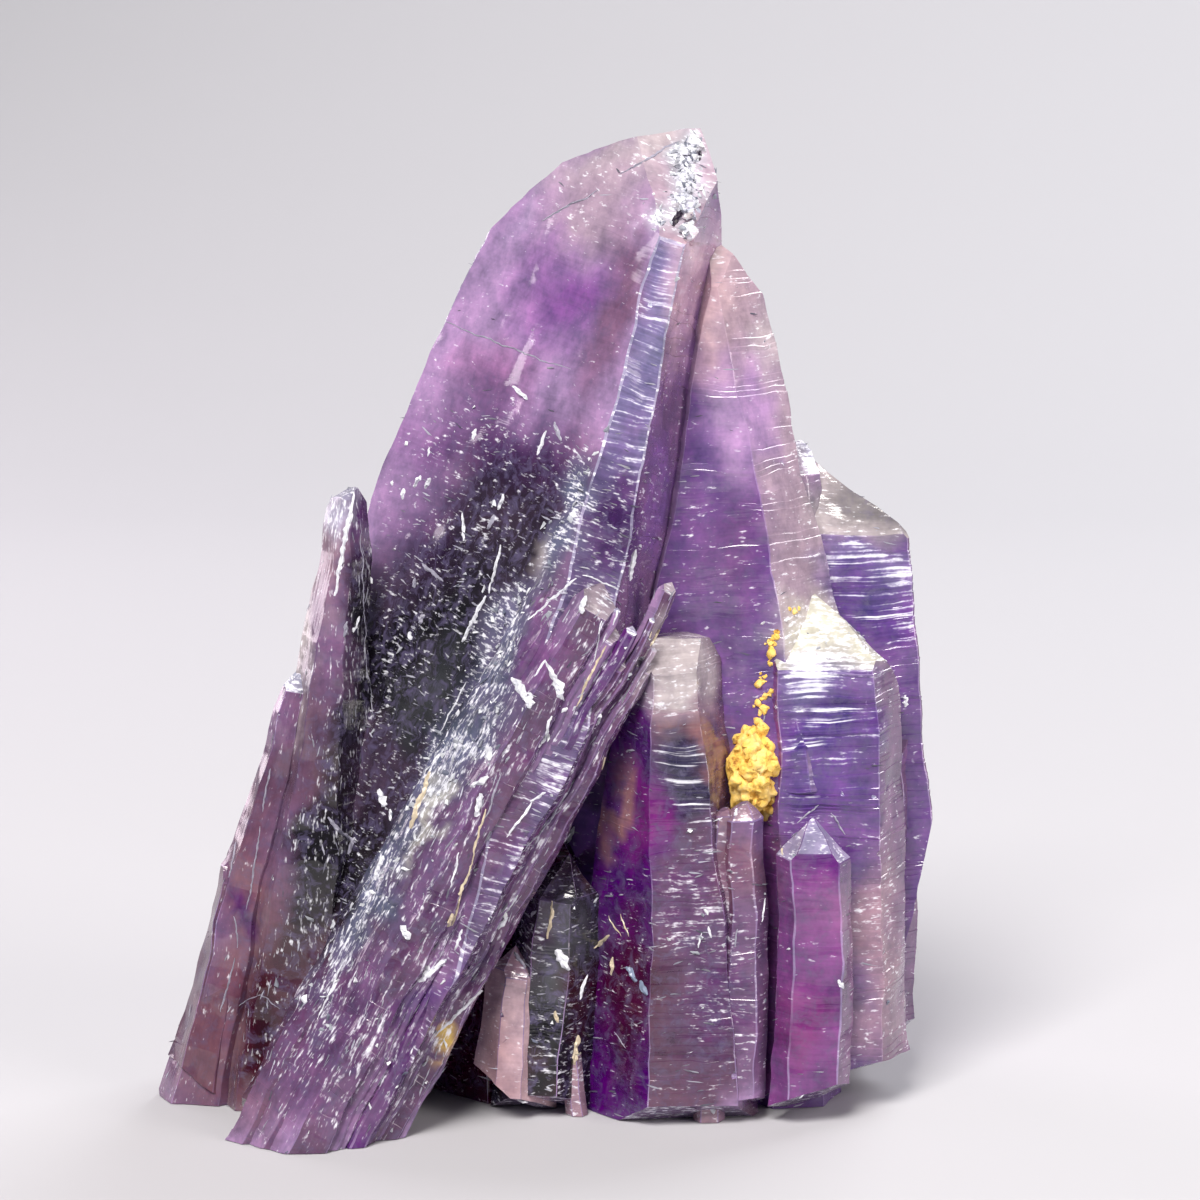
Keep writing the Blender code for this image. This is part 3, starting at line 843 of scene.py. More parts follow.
def boolean(name: str, operation: str, base: Object | None, others: Sequence[Object]) -> Mesh:
    """Joins closed meshes, or takes some out of another, with a Geometry Nodes tree.

    Args:
        name: what the result is called.
        operation: UNION or DIFFERENCE.
        base: what is cut, or None for a union.
        others: what is joined or taken out.

    Returns:
        The resulting mesh.
    """
    tree, _ = geometry_tree(name)
    node = add_node(tree, "GeometryNodeMeshBoolean", operation=operation, solver="MANIFOLD")
    for item, end in [(item, "Mesh 2") for item in others] + ([(base, "Mesh 1")] if base else []):
        info = add_node(tree, "GeometryNodeObjectInfo", {"Object": item})
        wire(tree, node, {end: info.outputs["Geometry"]})
    add_node(tree, "NodeGroupOutput", {0: node.outputs["Mesh"]})
    return run_tree(tree, bpy.data.meshes.new("empty"), name)


@dataclass
class Ribs:
    """The bundle of long ribs down the front of the leaning crystal.

    Attributes:
        lean: from upright towards +X.
        back: from upright towards +Y.
        turn: direction of each rib's first wall.
        edge_x: where the bundle's left edge is at the height of edge_z.
        edge_z: that height.
        large: the ribs that stand out: distance from the left edge, height of the tip, half width and how
            far forward it stands.
        small: how many thin ribs lie between them.
    """

    lean: float = 28.5
    back: float = 5.0
    turn: float = 10.0
    edge_x: float = 1.9
    edge_z: float = 31.2
    large: tuple[tuple[float, float, float, float], ...] = (
        (0.3, 31.2, 0.75, 4.4),
        (1.2, 29.0, 0.80, 5.2),
        (2.5, 27.2, 1.15, 6.0),
        (3.6, 25.5, 0.80, 5.8),
        (4.6, 24.0, 0.75, 5.6),
        (5.6, 27.0, 0.45, 3.4),
        (6.0, 23.6, 0.60, 4.6),
    )
    small: int = 46
    seed: int = 5

    PROUD = 4.0  # ribs that stand further forward than this make the bundle's front
    SPAN = (-0.1, 6.2)  # where the thin ribs lie, from the left edge
    HALVES = (0.14, 0.34)  # their half widths
    TIPS = (4.0, 26.5)  # the heights of their tips
    SUNK = (0.5, 1.1)  # how far they are sunk in, for their half width
    LEAN_STRAY = 1.4
    TURN_STRAY = 25.0

    def place(self, across: float, height: float, forward: float) -> Spot:
        """Where the tip of a rib is."""
        lean = radians(self.lean)
        x = self.edge_x + (height - self.edge_z) * tan(lean) + across / cos(lean)
        return (x, -forward, height)

    def forward(self, across: float) -> float:
        """How far forward the front of the bundle stands at a distance from its left edge."""
        known = sorted((rib[0], rib[3] + rib[2]) for rib in self.large if rib[3] > self.PROUD)
        return float(np.interp(across, *zip(*known)))

    def crystals(self) -> Iterator[Crystal]:
        """The large ribs and then the thin ones.

        Returns:
            Each as a crystal.
        """
        chance = random.Random(self.seed)
        turned = dict(lean=self.lean, back=self.back, turn=self.turn, streaks=Streaks.ALONG)
        tints = (Tint.VIOLET, Tint.BROWN, Tint.LILAC, Tint.DEEP_VIOLET, Tint.MAUVE, Tint.BROWN)
        for number, (across, height, half, forward) in enumerate(self.large):
            yield crystal(
                f"rib_{number}", self.place(across, height, forward), half, taper=0.5,
                raises=(0, 1, 0, 1, 0, 1), tint=chance.choice(tints), tints={5: Tint.LILAC},
                ledges=(0.05, 0.7), unevenness=0.06, end=Tint.GREY, **turned)
        for number in range(self.small):
            across, half, height = (chance.uniform(*ends) for ends in (self.SPAN, self.HALVES, self.TIPS))
            forward = self.forward(across) - half * chance.uniform(*self.SUNK)
            turned["lean"] = self.lean + chance.uniform(-self.LEAN_STRAY, self.LEAN_STRAY)
            turned["turn"] = self.turn + chance.uniform(-self.TURN_STRAY, self.TURN_STRAY)
            yield crystal(
                f"thin_rib_{number}", self.place(across, height, forward), half, taper=0.6,
                raises=(0, 0.3, 0, 0.5, 0, 0.3), tint=chance.choice(tints), unevenness=0.03,
                end=Tint.FROST, edge=0.06, **turned)


@dataclass
class EtchedTip:
    """The rough, etched lumps at the top of the leaning crystal.

    Attributes:
        count: how many lumps.
        size: their mean size.
        start: where the patch starts, at the top.
        finish: where it ends.
        stray: how far the lumps lie from the line between, at its top and at its end.
    """

    count: int = 60
    size: float = 0.42
    start: Spot = (7.0, -0.1, 48.3)
    finish: Spot = (6.2, -3.3, 43.9)
    stray: Pair = (0.25, 0.7)
    seed: int = 7

    POINTS = 12
    SIZES = (0.55, 1.25)  # for the mean size
    TINTS = (Tint.CREAM, Tint.FROST, Tint.CRUMBLY, Tint.GREY, Tint.MAUVE)

    def lumps(self) -> Iterator[Shape]:
        """Each lump, from the top down.

        Returns:
            Its shape.
        """
        chance = random.Random(self.seed)
        for number in range(self.count):
            along = (number + 0.5) / self.count
            stray = self.stray[0] + (self.stray[1] - self.stray[0]) * along
            middle = Vector(self.start).lerp(Vector(self.finish), along)
            middle += Vector([chance.uniform(-stray, stray) for _ in range(3)])
            tint = chance.choice(self.TINTS)
            yield lump(middle, self.size * chance.uniform(*self.SIZES), self.POINTS, tint, chance)


def lump(middle: Vector, size: float, points: int, tint: Tint, chance: random.Random) -> Shape:
    """Makes one angular lump.

    Args:
        middle: its middle.
        size: its radius.
        points: how many points on a ball it is the hull of.
        tint: what it shows.
        chance: where its random values come from.

    Returns:
        The closed lump.
    """
    shape = Shape()
    for _ in range(points):
        spot = Vector([chance.gauss(0.0, 1.0) for _ in range(3)]).normalized() * size
        shape.bm.verts.new(middle + spot)
    hull = bmesh.ops.convex_hull(shape.bm, input=shape.bm.verts[:])
    inner = [item for item in hull["geom_interior"] if isinstance(item, BMVert)]
    bmesh.ops.delete(shape.bm, geom=inner, context="VERTS")
    shape.bm.normal_update()
    for face in shape.bm.faces:
        shape.dress_flat([face], tint, face.normal, chance.uniform(0.0, 30.0))
    return shape


def slab(low: Spot, high: Spot, tint: Tint) -> Shape:
    """Makes a box between two corners.

    Args:
        low: its lowest corner, in millimetres.
        high: its highest.
        tint: what it shows.

    Returns:
        The box.
    """
    shape = Shape()
    bmesh.ops.create_cube(shape.bm, size=1.0)
    first, last = Vector(low), Vector(high)
    size = Matrix.Diagonal((*(last - first), 1.0))
    bmesh.ops.transform(
        shape.bm, matrix=Matrix.Translation((first + last) / 2) @ size, verts=shape.bm.verts[:])
    shape.bm.normal_update()
    for face in shape.bm.faces:
        shape.dress_flat([face], tint, face.normal, 0.0)
    return shape


@dataclass
class Nicks:
    """Small chips knocked out of the edges.

    Attributes:
        count: how many.
        sizes: the least and the largest radius.
        sharp: the least angle between the faces of an edge that gets chipped.
        least_edge: the length of the shortest such edge.
        above: the height under which no edge is chipped.
    """

    count: int = 150
    sizes: Pair = (0.07, 0.26)
    sharp: float = 24.0
    least_edge: float = 0.35
    above: float = 0.8
    seed: int = 11

    POINTS = 14
    SKEW = 2.0  # how much commoner small chips are than large ones
    PROUD = (0.35, 0.8)  # how far outside the edge a chip's middle lies, for its radius

    def shapes(self, mesh: Mesh) -> Iterator[Shape]:
        """Places a lump to cut away at points along the mesh's outer edges.

        Args:
            mesh: the specimen, in metres.

        Yields:
            Each lump, in millimetres.
        """
        bm = bmesh.new()
        bm.from_mesh(mesh)
        bm.normal_update()
        spots = []
        for edge in bm.edges:
            if len(edge.link_faces) != 2 or edge.calc_length() < self.least_edge * MM:
                continue
            if edge.calc_face_angle_signed(0.0) < radians(self.sharp):
                continue
            first, last = (corner.co / MM + MIDDLE for corner in edge.verts)
            if min(first.z, last.z) > self.above:
                outward = (edge.link_faces[0].normal + edge.link_faces[1].normal).normalized()
                spots.append((first, last, outward))
        bm.free()
        chance = random.Random(self.seed)
        spots.sort(key=lambda spot: tuple(round(value, 3) for value in (*spot[0], *spot[1])))
        weights = [(last - first).length for first, last, _ in spots]
        for first, last, outward in chance.choices(spots, weights, k=self.count):
            size = self.sizes[0] + (self.sizes[1] - self.sizes[0]) * chance.random() ** self.SKEW
            middle = first.lerp(last, chance.random()) + outward * size * chance.uniform(*self.PROUD)
            tint = chance.choice((Tint.FROST, Tint.BROKEN, Tint.EDGE))
            yield lump(middle, size, self.POINTS, tint, chance)


@dataclass(frozen=True)
class Zone:
    """A cloud of colour in the quartz (for a few zones, painted light instead): an ellipsoid in the frame
    of the specimen, in millimetres.

    Attributes:
        middle: its middle.
        radii: its half sizes across, front to back and along.
        tilt: from upright towards +X.
        tint: what it shows.
        strength: how much of what lies under it it hides.
    """

    middle: Spot
    radii: Spot
    tilt: float
    tint: Tint
    strength: float = 1.0

    INNER = 0.5
    OUTER = 1.3

    def inside(self, spots: np.ndarray) -> np.ndarray:
        """How much of each place the zone fills.

        Args:
            spots: places in millimetres, one in each row.

        Returns:
            For each place, from 0 to the zone's strength.
        """
        tilt = radians(self.tilt)
        away = spots - np.array(self.middle)
        across = away[:, 0] * cos(tilt) - away[:, 2] * sin(tilt)
        along = away[:, 0] * sin(tilt) + away[:, 2] * cos(tilt)
        local = np.stack([across, away[:, 1], along], axis=1) / np.array(self.radii)
        share = np.clip((self.OUTER - np.linalg.norm(local, axis=1)) / (self.OUTER - self.INNER), 0.0, 1.0)
        return share * self.strength


# Each cloud's middle, radii, tilt, what it shows and how strongly. Later ones lie over earlier ones. A few
# are painted light, marked below.
ZONES = tuple(Zone(row[:3], row[3:6], *row[6:]) for row in (
    (-4, -6, 14, 5.5, 5, 17, 28.5, Tint.MASS, 0.7),
    (2.9, -1, 47.3, 4.8, 6, 1.2, -12, Tint.GREY, 0.8),
    (0.9, -2, 45.6, 5, 6, 2.4, 5, Tint.DUSTY, 0.9),
    (-2.4, -2, 44.9, 0.8, 6, 4.6, 40, Tint.FROST, 0.4),
    (6.9, -1, 46.8, 1, 3, 2.6, 8, Tint.CRUMBLY),
    (6.2, -3, 44.2, 0.9, 3, 0.9, 8, Tint.CRUMBLY, 0.9),
    (-0.3, -3, 41.2, 3.4, 6, 3.2, 20, Tint.BRIGHT_VIOLET, 0.9),
    (3.2, -3, 40.2, 1.4, 6, 4.4, 14, Tint.MAUVE, 0.8),
    (3.5, -3, 41, 1, 6, 3.6, 14, Tint.RUST, 0.4),
    (1.6, -3, 33.5, 1.2, 6, 2, 14, Tint.RUST, 0.4),
    (-4.6, -3, 37.6, 3.2, 6, 2.6, 15, Tint.PINK, 0.95),
    (-2.2, -3, 33.2, 7.4, 8, 3.4, 25, Tint.DUSK, 0.9),
    (-7.6, -3, 29, 4.4, 8, 5.4, 10, Tint.DUSK),
    (-9.3, -3, 29.4, 1.6, 4, 2.4, 10, Tint.DEEP_VIOLET, 0.8),
    (-7.4, -3, 33.4, 3, 8, 2.6, 15, Tint.DEEP_VIOLET, 0.6),
    (-5.6, -3, 33, 3, 8, 2.4, 20, Tint.MASS, 0.7),
    (-2.8, -4, 29.2, 5.2, 8, 5.4, 25, Tint.MURK, 0.9),
    (-6.4, -4, 22.5, 5.2, 8, 7.5, 25, Tint.SMOKE),
    (-10, -4, 14, 4.4, 8, 7, 22, Tint.MURK),
    (-11.8, -4, 6.5, 3.2, 8, 6, 22, Tint.SHADOW, 0.8),
    (-8.8, -1, 22.8, 3.2, 8, 5.8, 20, Tint.SMOKE),
    (-6.9, -5, 21.2, 1.8, 5, 2.8, 20, Tint.DULL, 0.8),
    (-9.9, -5, 12.3, 0.9, 5, 1.6, 10, Tint.DULL, 0.6),
    (-0.6, -4, 27.9, 0.8, 4, 1.2, 10, Tint.GREY, 0.9),
    (-10.8, -1, 24, 1.5, 4, 5, 8, Tint.MAUVE, 0.9),
    (-10.4, -1, 28.2, 1.3, 4, 2.8, 6, Tint.HAZE, 0.9),
    (-10.3, -1, 30, 1.1, 4, 1.6, 6, Tint.FROST, 0.7),
    (-13.4, -1, 16, 1.6, 4, 4.5, 12, Tint.BROWN, 0.9),
    (-11.8, -4, 11.5, 2.3, 8, 5.4, 20, Tint.SMOKE, 0.9),
    (-13.8, -2, 11.5, 0.9, 4, 3.5, 16, Tint.MAUVE, 0.8),
    (-15.8, -1, 8, 1.8, 4, 6.5, 14, Tint.RUST, 0.8),
    (-16.1, -2, 9.3, 0.5, 4, 1.9, 10, Tint.DEEP_VIOLET, 0.7),
    (1, -5, 30, 0.9, 4, 3.8, 18, Tint.ROUGH, 0.9),
    (-2, -6, 23.9, 1.5, 4, 2.6, 28, Tint.ROUGH, 0.8),
    (-5.3, -7, 18.4, 1.2, 4, 4.6, 28.5, Tint.ROUGH, 0.95),
    (-8.2, -8, 13, 1.2, 4, 2.6, 30, Tint.ROUGH, 0.9),
    (-10.4, -8, 8.5, 0.8, 4, 4, 22, Tint.ROUGH, 0.8),
    (-5.7, -7, 16.2, 0.35, 4, 2, 24, Tint.CREAM, 0.6),
    (3.2, -4, 29.6, 1.5, 3, 2.8, 15, Tint.DUSK, 0.9),
    (4.2, -4, 34.4, 1.1, 3, 1, 15, Tint.VIOLET, 0.5),
    (0.2, -7, 24.2, 0.9, 3, 1.6, 28, Tint.PLUM, 0.6),
    (-2.2, -8, 15, 1.2, 3, 3.4, 28, Tint.BROWN, 0.6),
    (-6.6, -8, 8, 0.6, 3, 2.6, 28, Tint.VIOLET, 0.8),
    # Painted light: this pale pink makes the leaning crystal's right face, turned away from the key light,
    # look lit.
    (8.2, -2, 40.4, 2.2, 4, 4.6, 8, Tint.BLUSH),
    (7, -2, 30.5, 1.6, 4, 4.6, 12, Tint.VIOLET, 0.8),
    (9.6, 0, 28.6, 2.4, 4, 3.6, 0, Tint.DEEP_VIOLET, 0.4),
    # Painted light: a pale zone on the tall crystal's top lifts the shade of the gap beside the leaning
    # crystal.
    (8.9, 2, 40.6, 1.4, 3, 2.6, -4, Tint.DUSTY, 0.9),
    (9.2, 0, 35, 1.8, 4, 3.4, 0, Tint.LILAC),
    (8.6, 0, 27.8, 2.4, 4, 4.6, 0, Tint.MAUVE, 0.5),
    (11.4, 1, 37.5, 1.4, 4, 2.6, -8, Tint.GREY, 0.8),
    (11.8, 1, 32.5, 1.6, 4, 5, -8, Tint.DUSTY),
    (15.6, 3, 30.3, 2.8, 5, 2, 0, Tint.GREY, 0.9),
    (16.2, 3, 30.6, 2.8, 5, 1.8, 0, Tint.DULL, 0.65),
    (16, 2, 27.3, 2.8, 4, 0.8, 0, Tint.STRIPED, 0.7),
    (16, 2, 25.2, 2.8, 4, 1.8, 0, Tint.BANDED, 0.9),
    (13.9, -3, 24.2, 3.4, 4, 1.8, 0, Tint.CREAM, 0.9),
    (13.8, -4, 21.9, 3, 3, 1.5, 0, Tint.STRIPED),
    (13.8, -4, 19.4, 3, 3, 1.3, 0, Tint.BANDED),
    (13.8, -4, 16.6, 3, 3, 1.6, 0, Tint.BANDED, 0.7),
    (13.2, -4, 14.6, 3, 3, 1.4, 0, Tint.VIOLET, 0.8),
    (6.4, -5, 22.8, 2.6, 3, 2.4, 0, Tint.GREY),
    (6.6, -5, 20.8, 2.2, 3, 0.8, 0, Tint.HAZE, 0.9),
    (6.6, -5, 20.3, 2.2, 3, 0.3, 0, Tint.ROSE, 0.8),
    (6.6, -5, 18.3, 2.2, 3, 2.6, 0, Tint.SLATE, 0.95),
    (8.1, -5, 18.6, 0.7, 3, 2.8, 0, Tint.ROSE, 0.7),
    (9.9, -5, 13, 0.9, 3, 1.8, 0, Tint.ROSE, 0.45),
    (9.2, -5, 13.4, 0.5, 3, 1.4, 0, Tint.RUST, 0.9),
    (11.6, -5, 14.1, 0.6, 3, 0.9, 0, Tint.RUST, 0.9),
    (7.6, -5, 9.5, 2.6, 3, 6.5, 0, Tint.MASS, 0.8),
    (7.2, -5, 6.5, 1.6, 3, 2.6, 0, Tint.DUSK, 0.6),
    (4.3, -5, 14.5, 1.2, 3, 4.8, 0, Tint.DEEP_VIOLET, 0.9),
    (4.2, -5, 15.4, 1, 3, 2.8, 0, Tint.MAGENTA, 0.55),
    (2.7, -4.5, 15.4, 0.5, 3, 3.2, 18, Tint.ROSE, 0.9),
    (13.2, -5, 13.2, 1.6, 2.5, 0.8, 0, Tint.DEEP_VIOLET, 0.7),
    (13.2, -5, 11, 1.8, 2.5, 1.4, 0, Tint.PINK, 0.4),
    (11.9, -5, 5.3, 1.1, 2.5, 2.6, 0, Tint.MAGENTA, 0.8),
    (16.4, -2, 7.7, 1.7, 4, 5.4, 0, Tint.HAZE, 0.9),
    (0.7, -5, 9.5, 1.4, 3, 3.4, 0, Tint.DULL, 0.85),
    (3.1, -5, 6.3, 1.9, 3, 5.2, 0, Tint.SHADOW, 0.9),
    (9.3, -6, 1.8, 1.4, 3, 0.8, 0, Tint.LILAC, 0.9),
    (-15.9, 0, 1.8, 3.4, 12, 3, 0, Tint.RUST, 0.7),
    (-14.4, -3, 4.2, 2.1, 5, 3.8, 10, Tint.SHADOW),
    (-14.2, -3, 4.6, 0.8, 5, 2, 10, Tint.MURK, 0.6),
    (-1.9, -5, 3, 1.6, 3, 2, 0, Tint.RUST, 0.5),
    (-9.6, -9, 4, 4.6, 4, 4.5, 28, Tint.MASS, 0.7),
    (-10.5, -9, 2, 2.6, 3, 2, 28, Tint.MAUVE, 0.5),
    (-5.6, -8, 4.5, 0.5, 2, 0.9, 15, Tint.YELLOW, 0.9),
    (2.4, 8, 44, 5, 2.2, 3.5, 18, Tint.DUSTY, 0.9),
    (-0.8, 8, 36, 3.6, 2.2, 4.5, 18, Tint.BRIGHT_VIOLET, 0.8),
    (2.8, 8, 33, 2.2, 2.2, 6, 14, Tint.PLUM, 0.7),
    (-5.5, 8, 24, 3.6, 2.2, 5.5, 20, Tint.DUSK, 0.8),
    (-9.5, 8, 12, 3, 2.2, 5.5, 20, Tint.BROWN, 0.7),
))


@dataclass
class Painter:
    """Tells the material and the scatters what each place of the quartz shows.

    Attributes:
        zones: the clouds of colour, each laid over the ones before; a few are painted light.
        swirls: the sizes of the swirls that break up the clouds' outlines, and how far they move a place.
        held: how much of the clouds a worn rim takes on.
    """

    zones: Sequence[Zone] = ZONES
    swirls: tuple[Pair, ...] = ((4.5, 1.7), (1.4, 0.75), (0.5, 0.35))
    held: float = 0.2

    def stirred(self, spots: np.ndarray) -> np.ndarray:
        """Moves places, in millimetres, by the swirls.

        Args:
            spots: a place in each row.

        Returns:
            The moved places.
        """
        moved = []
        for spot in spots:
            place = Vector(spot)
            moved.append(sum((noise.noise_vector(place / size) * far for size, far in self.swirls), place))
        return np.array(moved)

    def paint(self, mesh: Mesh) -> None:
        """Turns the faces' tints into the layers that the material and the scatters read.

        Args:
            mesh: the quartz, in triangles.
        """
        numbers = np.zeros(len(mesh.polygons), dtype=np.int32)
        mesh.attributes[Layer.TINT.value].data.foreach_get("value", numbers)
        mesh.attributes.remove(mesh.attributes[Layer.TINT.value])
        spots = np.zeros(len(mesh.vertices) * 3)
        mesh.vertices.foreach_get("co", spots)
        spots = spots.reshape(-1, 3)
        turns = np.zeros(len(mesh.loops), dtype=np.int32)
        mesh.loops.foreach_get("vertex_index", turns)
        inside = self.stirred(spots / MM + np.array(MIDDLE))
        shares = [zone.inside(inside)[turns][:, None] for zone in self.zones]
        given = np.where(np.repeat(numbers, 3) == Shape.TINTS.index(Tint.RIM), self.held, 1.0)[:, None]

        def laid(read: Callable[[Tint], Sequence[float]]) -> np.ndarray:
            """Lays the clouds over the tints, for what is read of each."""
            values = np.repeat(np.array([read(tint) for tint in Shape.TINTS])[numbers], 3, axis=0)
            for zone, share in zip(self.zones, shares):
                values += (np.array(read(zone.tint)) - values) * share * given
            return values

        for name, read in ((Layer.TINT, lambda tint: tint.colour),
                           (Layer.CHARACTER, lambda tint: tint.character)):
            layer = mesh.attributes.new(name.value, "FLOAT_COLOR", "CORNER")
            layer.data.foreach_set("color", laid(read).astype(np.float32).ravel())
        scattered = laid(lambda tint: tint.scattered).reshape(-1, 3, 2).mean(axis=1) / MM ** 2
        for name, column in ((Layer.FLECKS, 0), (Layer.CRUMBS, 1)):
            layer = mesh.attributes.new(name.value, "FLOAT", "FACE")
            layer.data.foreach_set("value", scattered[:, column].astype(np.float32))
        layer = mesh.attributes.new(Layer.FLOW.value, "FLOAT_VECTOR", "FACE")
        layer.data.foreach_set("vector", self.flow(mesh, spots[turns]).astype(np.float32).ravel())

    def flow(self, mesh: Mesh, corners: np.ndarray) -> np.ndarray:
        """Finds which way the growth lines of each triangle run.

        Args:
            mesh: the quartz, in triangles.
            corners: the place of each triangle's corners, in turn.

        Returns:
            A direction in each row.
        """
        grain = np.zeros(len(mesh.loops) * 2)
        mesh.uv_layers[Layer.GRAIN.value].uv.foreach_get("vector", grain)
        corners, grain = corners.reshape(-1, 3, 3), grain.reshape(-1, 3, 2)
        first, second = corners[:, 1] - corners[:, 0], corners[:, 2] - corners[:, 0]
        down_first, down_second = grain[:, 1, 1] - grain[:, 0, 1], grain[:, 2, 1] - grain[:, 0, 1]
        turned = (grain[:, 1, 0] - grain[:, 0, 0]) * down_second
        turned -= (grain[:, 2, 0] - grain[:, 0, 0]) * down_first
        flow = first * down_second[:, None] - second * down_first[:, None]
        flow *= np.where(turned < 0.0, -1.0, 1.0)[:, None]
        return flow / np.maximum(np.linalg.norm(flow, axis=1), 1e-12)[:, None]


@dataclass(frozen=True)
class Chisel:
    """Fine ridges that run along the rib bundle.

    Attributes:
        region: where they are, and which way they run.
        ridges: their width, their length and how far they stand out.
        longest: edges longer than this are divided there.
    """

    region: Zone = Zone((-4.0, -8.0, 14.0), (4.6, 6.0, 16.0), 28.5, Tint.MASS)
    ridges: tuple[Spot, ...] = ((0.6, 3.5, 0.17), (0.3, 1.5, 0.09))
    longest: float = 0.45

    RIM = 0.1  # edges that the region holds less than this aren't divided

    def divide(self, bm: BMesh) -> None:
        """Divides the long edges of the region.

        Args:
            bm: the quartz.
        """
        edges = long_edges(bm, self.longest)
        middles = np.array([(edge.verts[0].co + edge.verts[1].co) / (2 * MM) + MIDDLE for edge in edges])
        inside = self.region.inside(middles) > self.RIM
        halve(bm, [edge for edge, within in zip(edges, inside) if within])

    def carve(self, bm: BMesh) -> None:
        """Moves the region's corners in and out.

        Args:
            bm: the quartz.
        """
        bm.normal_update()
        spots = np.array([corner.co / MM + MIDDLE for corner in bm.verts])
        tilt = Matrix.Rotation(radians(-self.region.tilt), 3, "Y")
        for corner, spot, share in zip(bm.verts, spots, self.region.inside(spots)):
            if share > 0.0:
                x, y, z = tilt @ Vector(spot)
                out = sum(noise.noise(Vector((x / wide, y / wide, z / long))) * far
                          for wide, long, far in self.ridges)
                corner.co += corner.normal * (out * share * MM)


@dataclass
class Cluster:
    """The quartz: every crystal grown into one closed solid with a flat broken base.

    Attributes:
        ribs: the bundle of ribs.
        tip: the etched lumps at the top.
        nicks: the chips out of the edges.
        chisel: the fine ridges of the rib bundle.
        painter: tells the material what each place shows.
        divide: faces with edges longer than these are divided, once for each.
        waves: the sizes of the swells of the whole surface, and how far each moves it.
        settled: the height under which the swells die out towards the base.
    """

    ribs: Ribs = field(default_factory=Ribs)
    tip: EtchedTip = field(default_factory=EtchedTip)
    nicks: Nicks = field(default_factory=Nicks)
    chisel: Chisel = Chisel()
    painter: Painter = field(default_factory=Painter)
    divide: tuple[float, ...] = (1.1, 0.8)
    waves: tuple[Pair, ...] = ((4.5, 0.28), (1.5, 0.11), (0.5, 0.035))
    settled: float = 1.5

    NAME = "amethyst"
    FLOOR = ((-60.0, -60.0, -12.0), (60.0, 60.0, 0.0))
    SHARP = 17.0

    def build(self) -> Object:
        """Returns the quartz as one object at the origin."""
        grown = []
        for number, one in enumerate((*LEANING, *UPRIGHT, *HIDDEN, *BACK, *self.ribs.crystals())):
            grown.append(object_of(CrystalGrower(one, number).grow().mesh(one.name)))
        grown += [object_of(shape.mesh("lump")) for shape in self.tip.lumps()]
        log.info("grown: %d crystals and lumps", len(grown))
        whole = object_of(boolean("whole", "UNION", None, grown))
        drop(grown)
        cutters = [object_of(shape.mesh("nick")) for shape in self.nicks.shapes(whole.data)]
        cutters.append(object_of(slab(*self.FLOOR, Tint.BROKEN).mesh("floor_cutter")))
        made = object_of(boolean(self.NAME, "DIFFERENCE", whole, cutters))
        drop([whole, *cutters])
        self.finish_mesh(made.data)
        self.painter.paint(made.data)
        return made

    def finish_mesh(self, mesh: Mesh) -> None:
        """Divides the large faces, weathers the surface and smooths edges between near-level faces.

        Args:
            mesh: the quartz.
        """
        with opened(mesh) as bm:
            bmesh.ops.triangulate(bm, faces=bm.faces[:])
            for longest in self.divide:
                halve(bm, long_edges(bm, longest))
            self.chisel.divide(bm)
            self.chisel.carve(bm)
            for corner in bm.verts:
                corner.co = self.weathered(corner.co / MM + MIDDLE)
        mesh.shade_smooth()
        mesh.set_sharp_from_angle(angle=radians(self.SHARP))

    def weathered(self, spot: Vector) -> Vector:
        """Moves a place by smooth noise, so that nothing runs dead straight, and keeps it in the box.

        Args:
            spot: a place, in millimetres.

        Returns:
            The moved place, in metres from the middle of the base.
        """
        move = Vector((0.0, 0.0, 0.0))
        for size, amount in self.waves:
            move += noise.noise_vector(spot / size + Vector((size, 0.0, 0.0))) * amount
        move.z *= min(1.0, max(0.0, spot.z / self.settled))
        moved = (spot + move - MIDDLE) * MM
        low, high = CAD_BOX
        inside = [min(max(value, least), most) for value, least, most in zip(moved, low, high)]
        return Vector(inside)


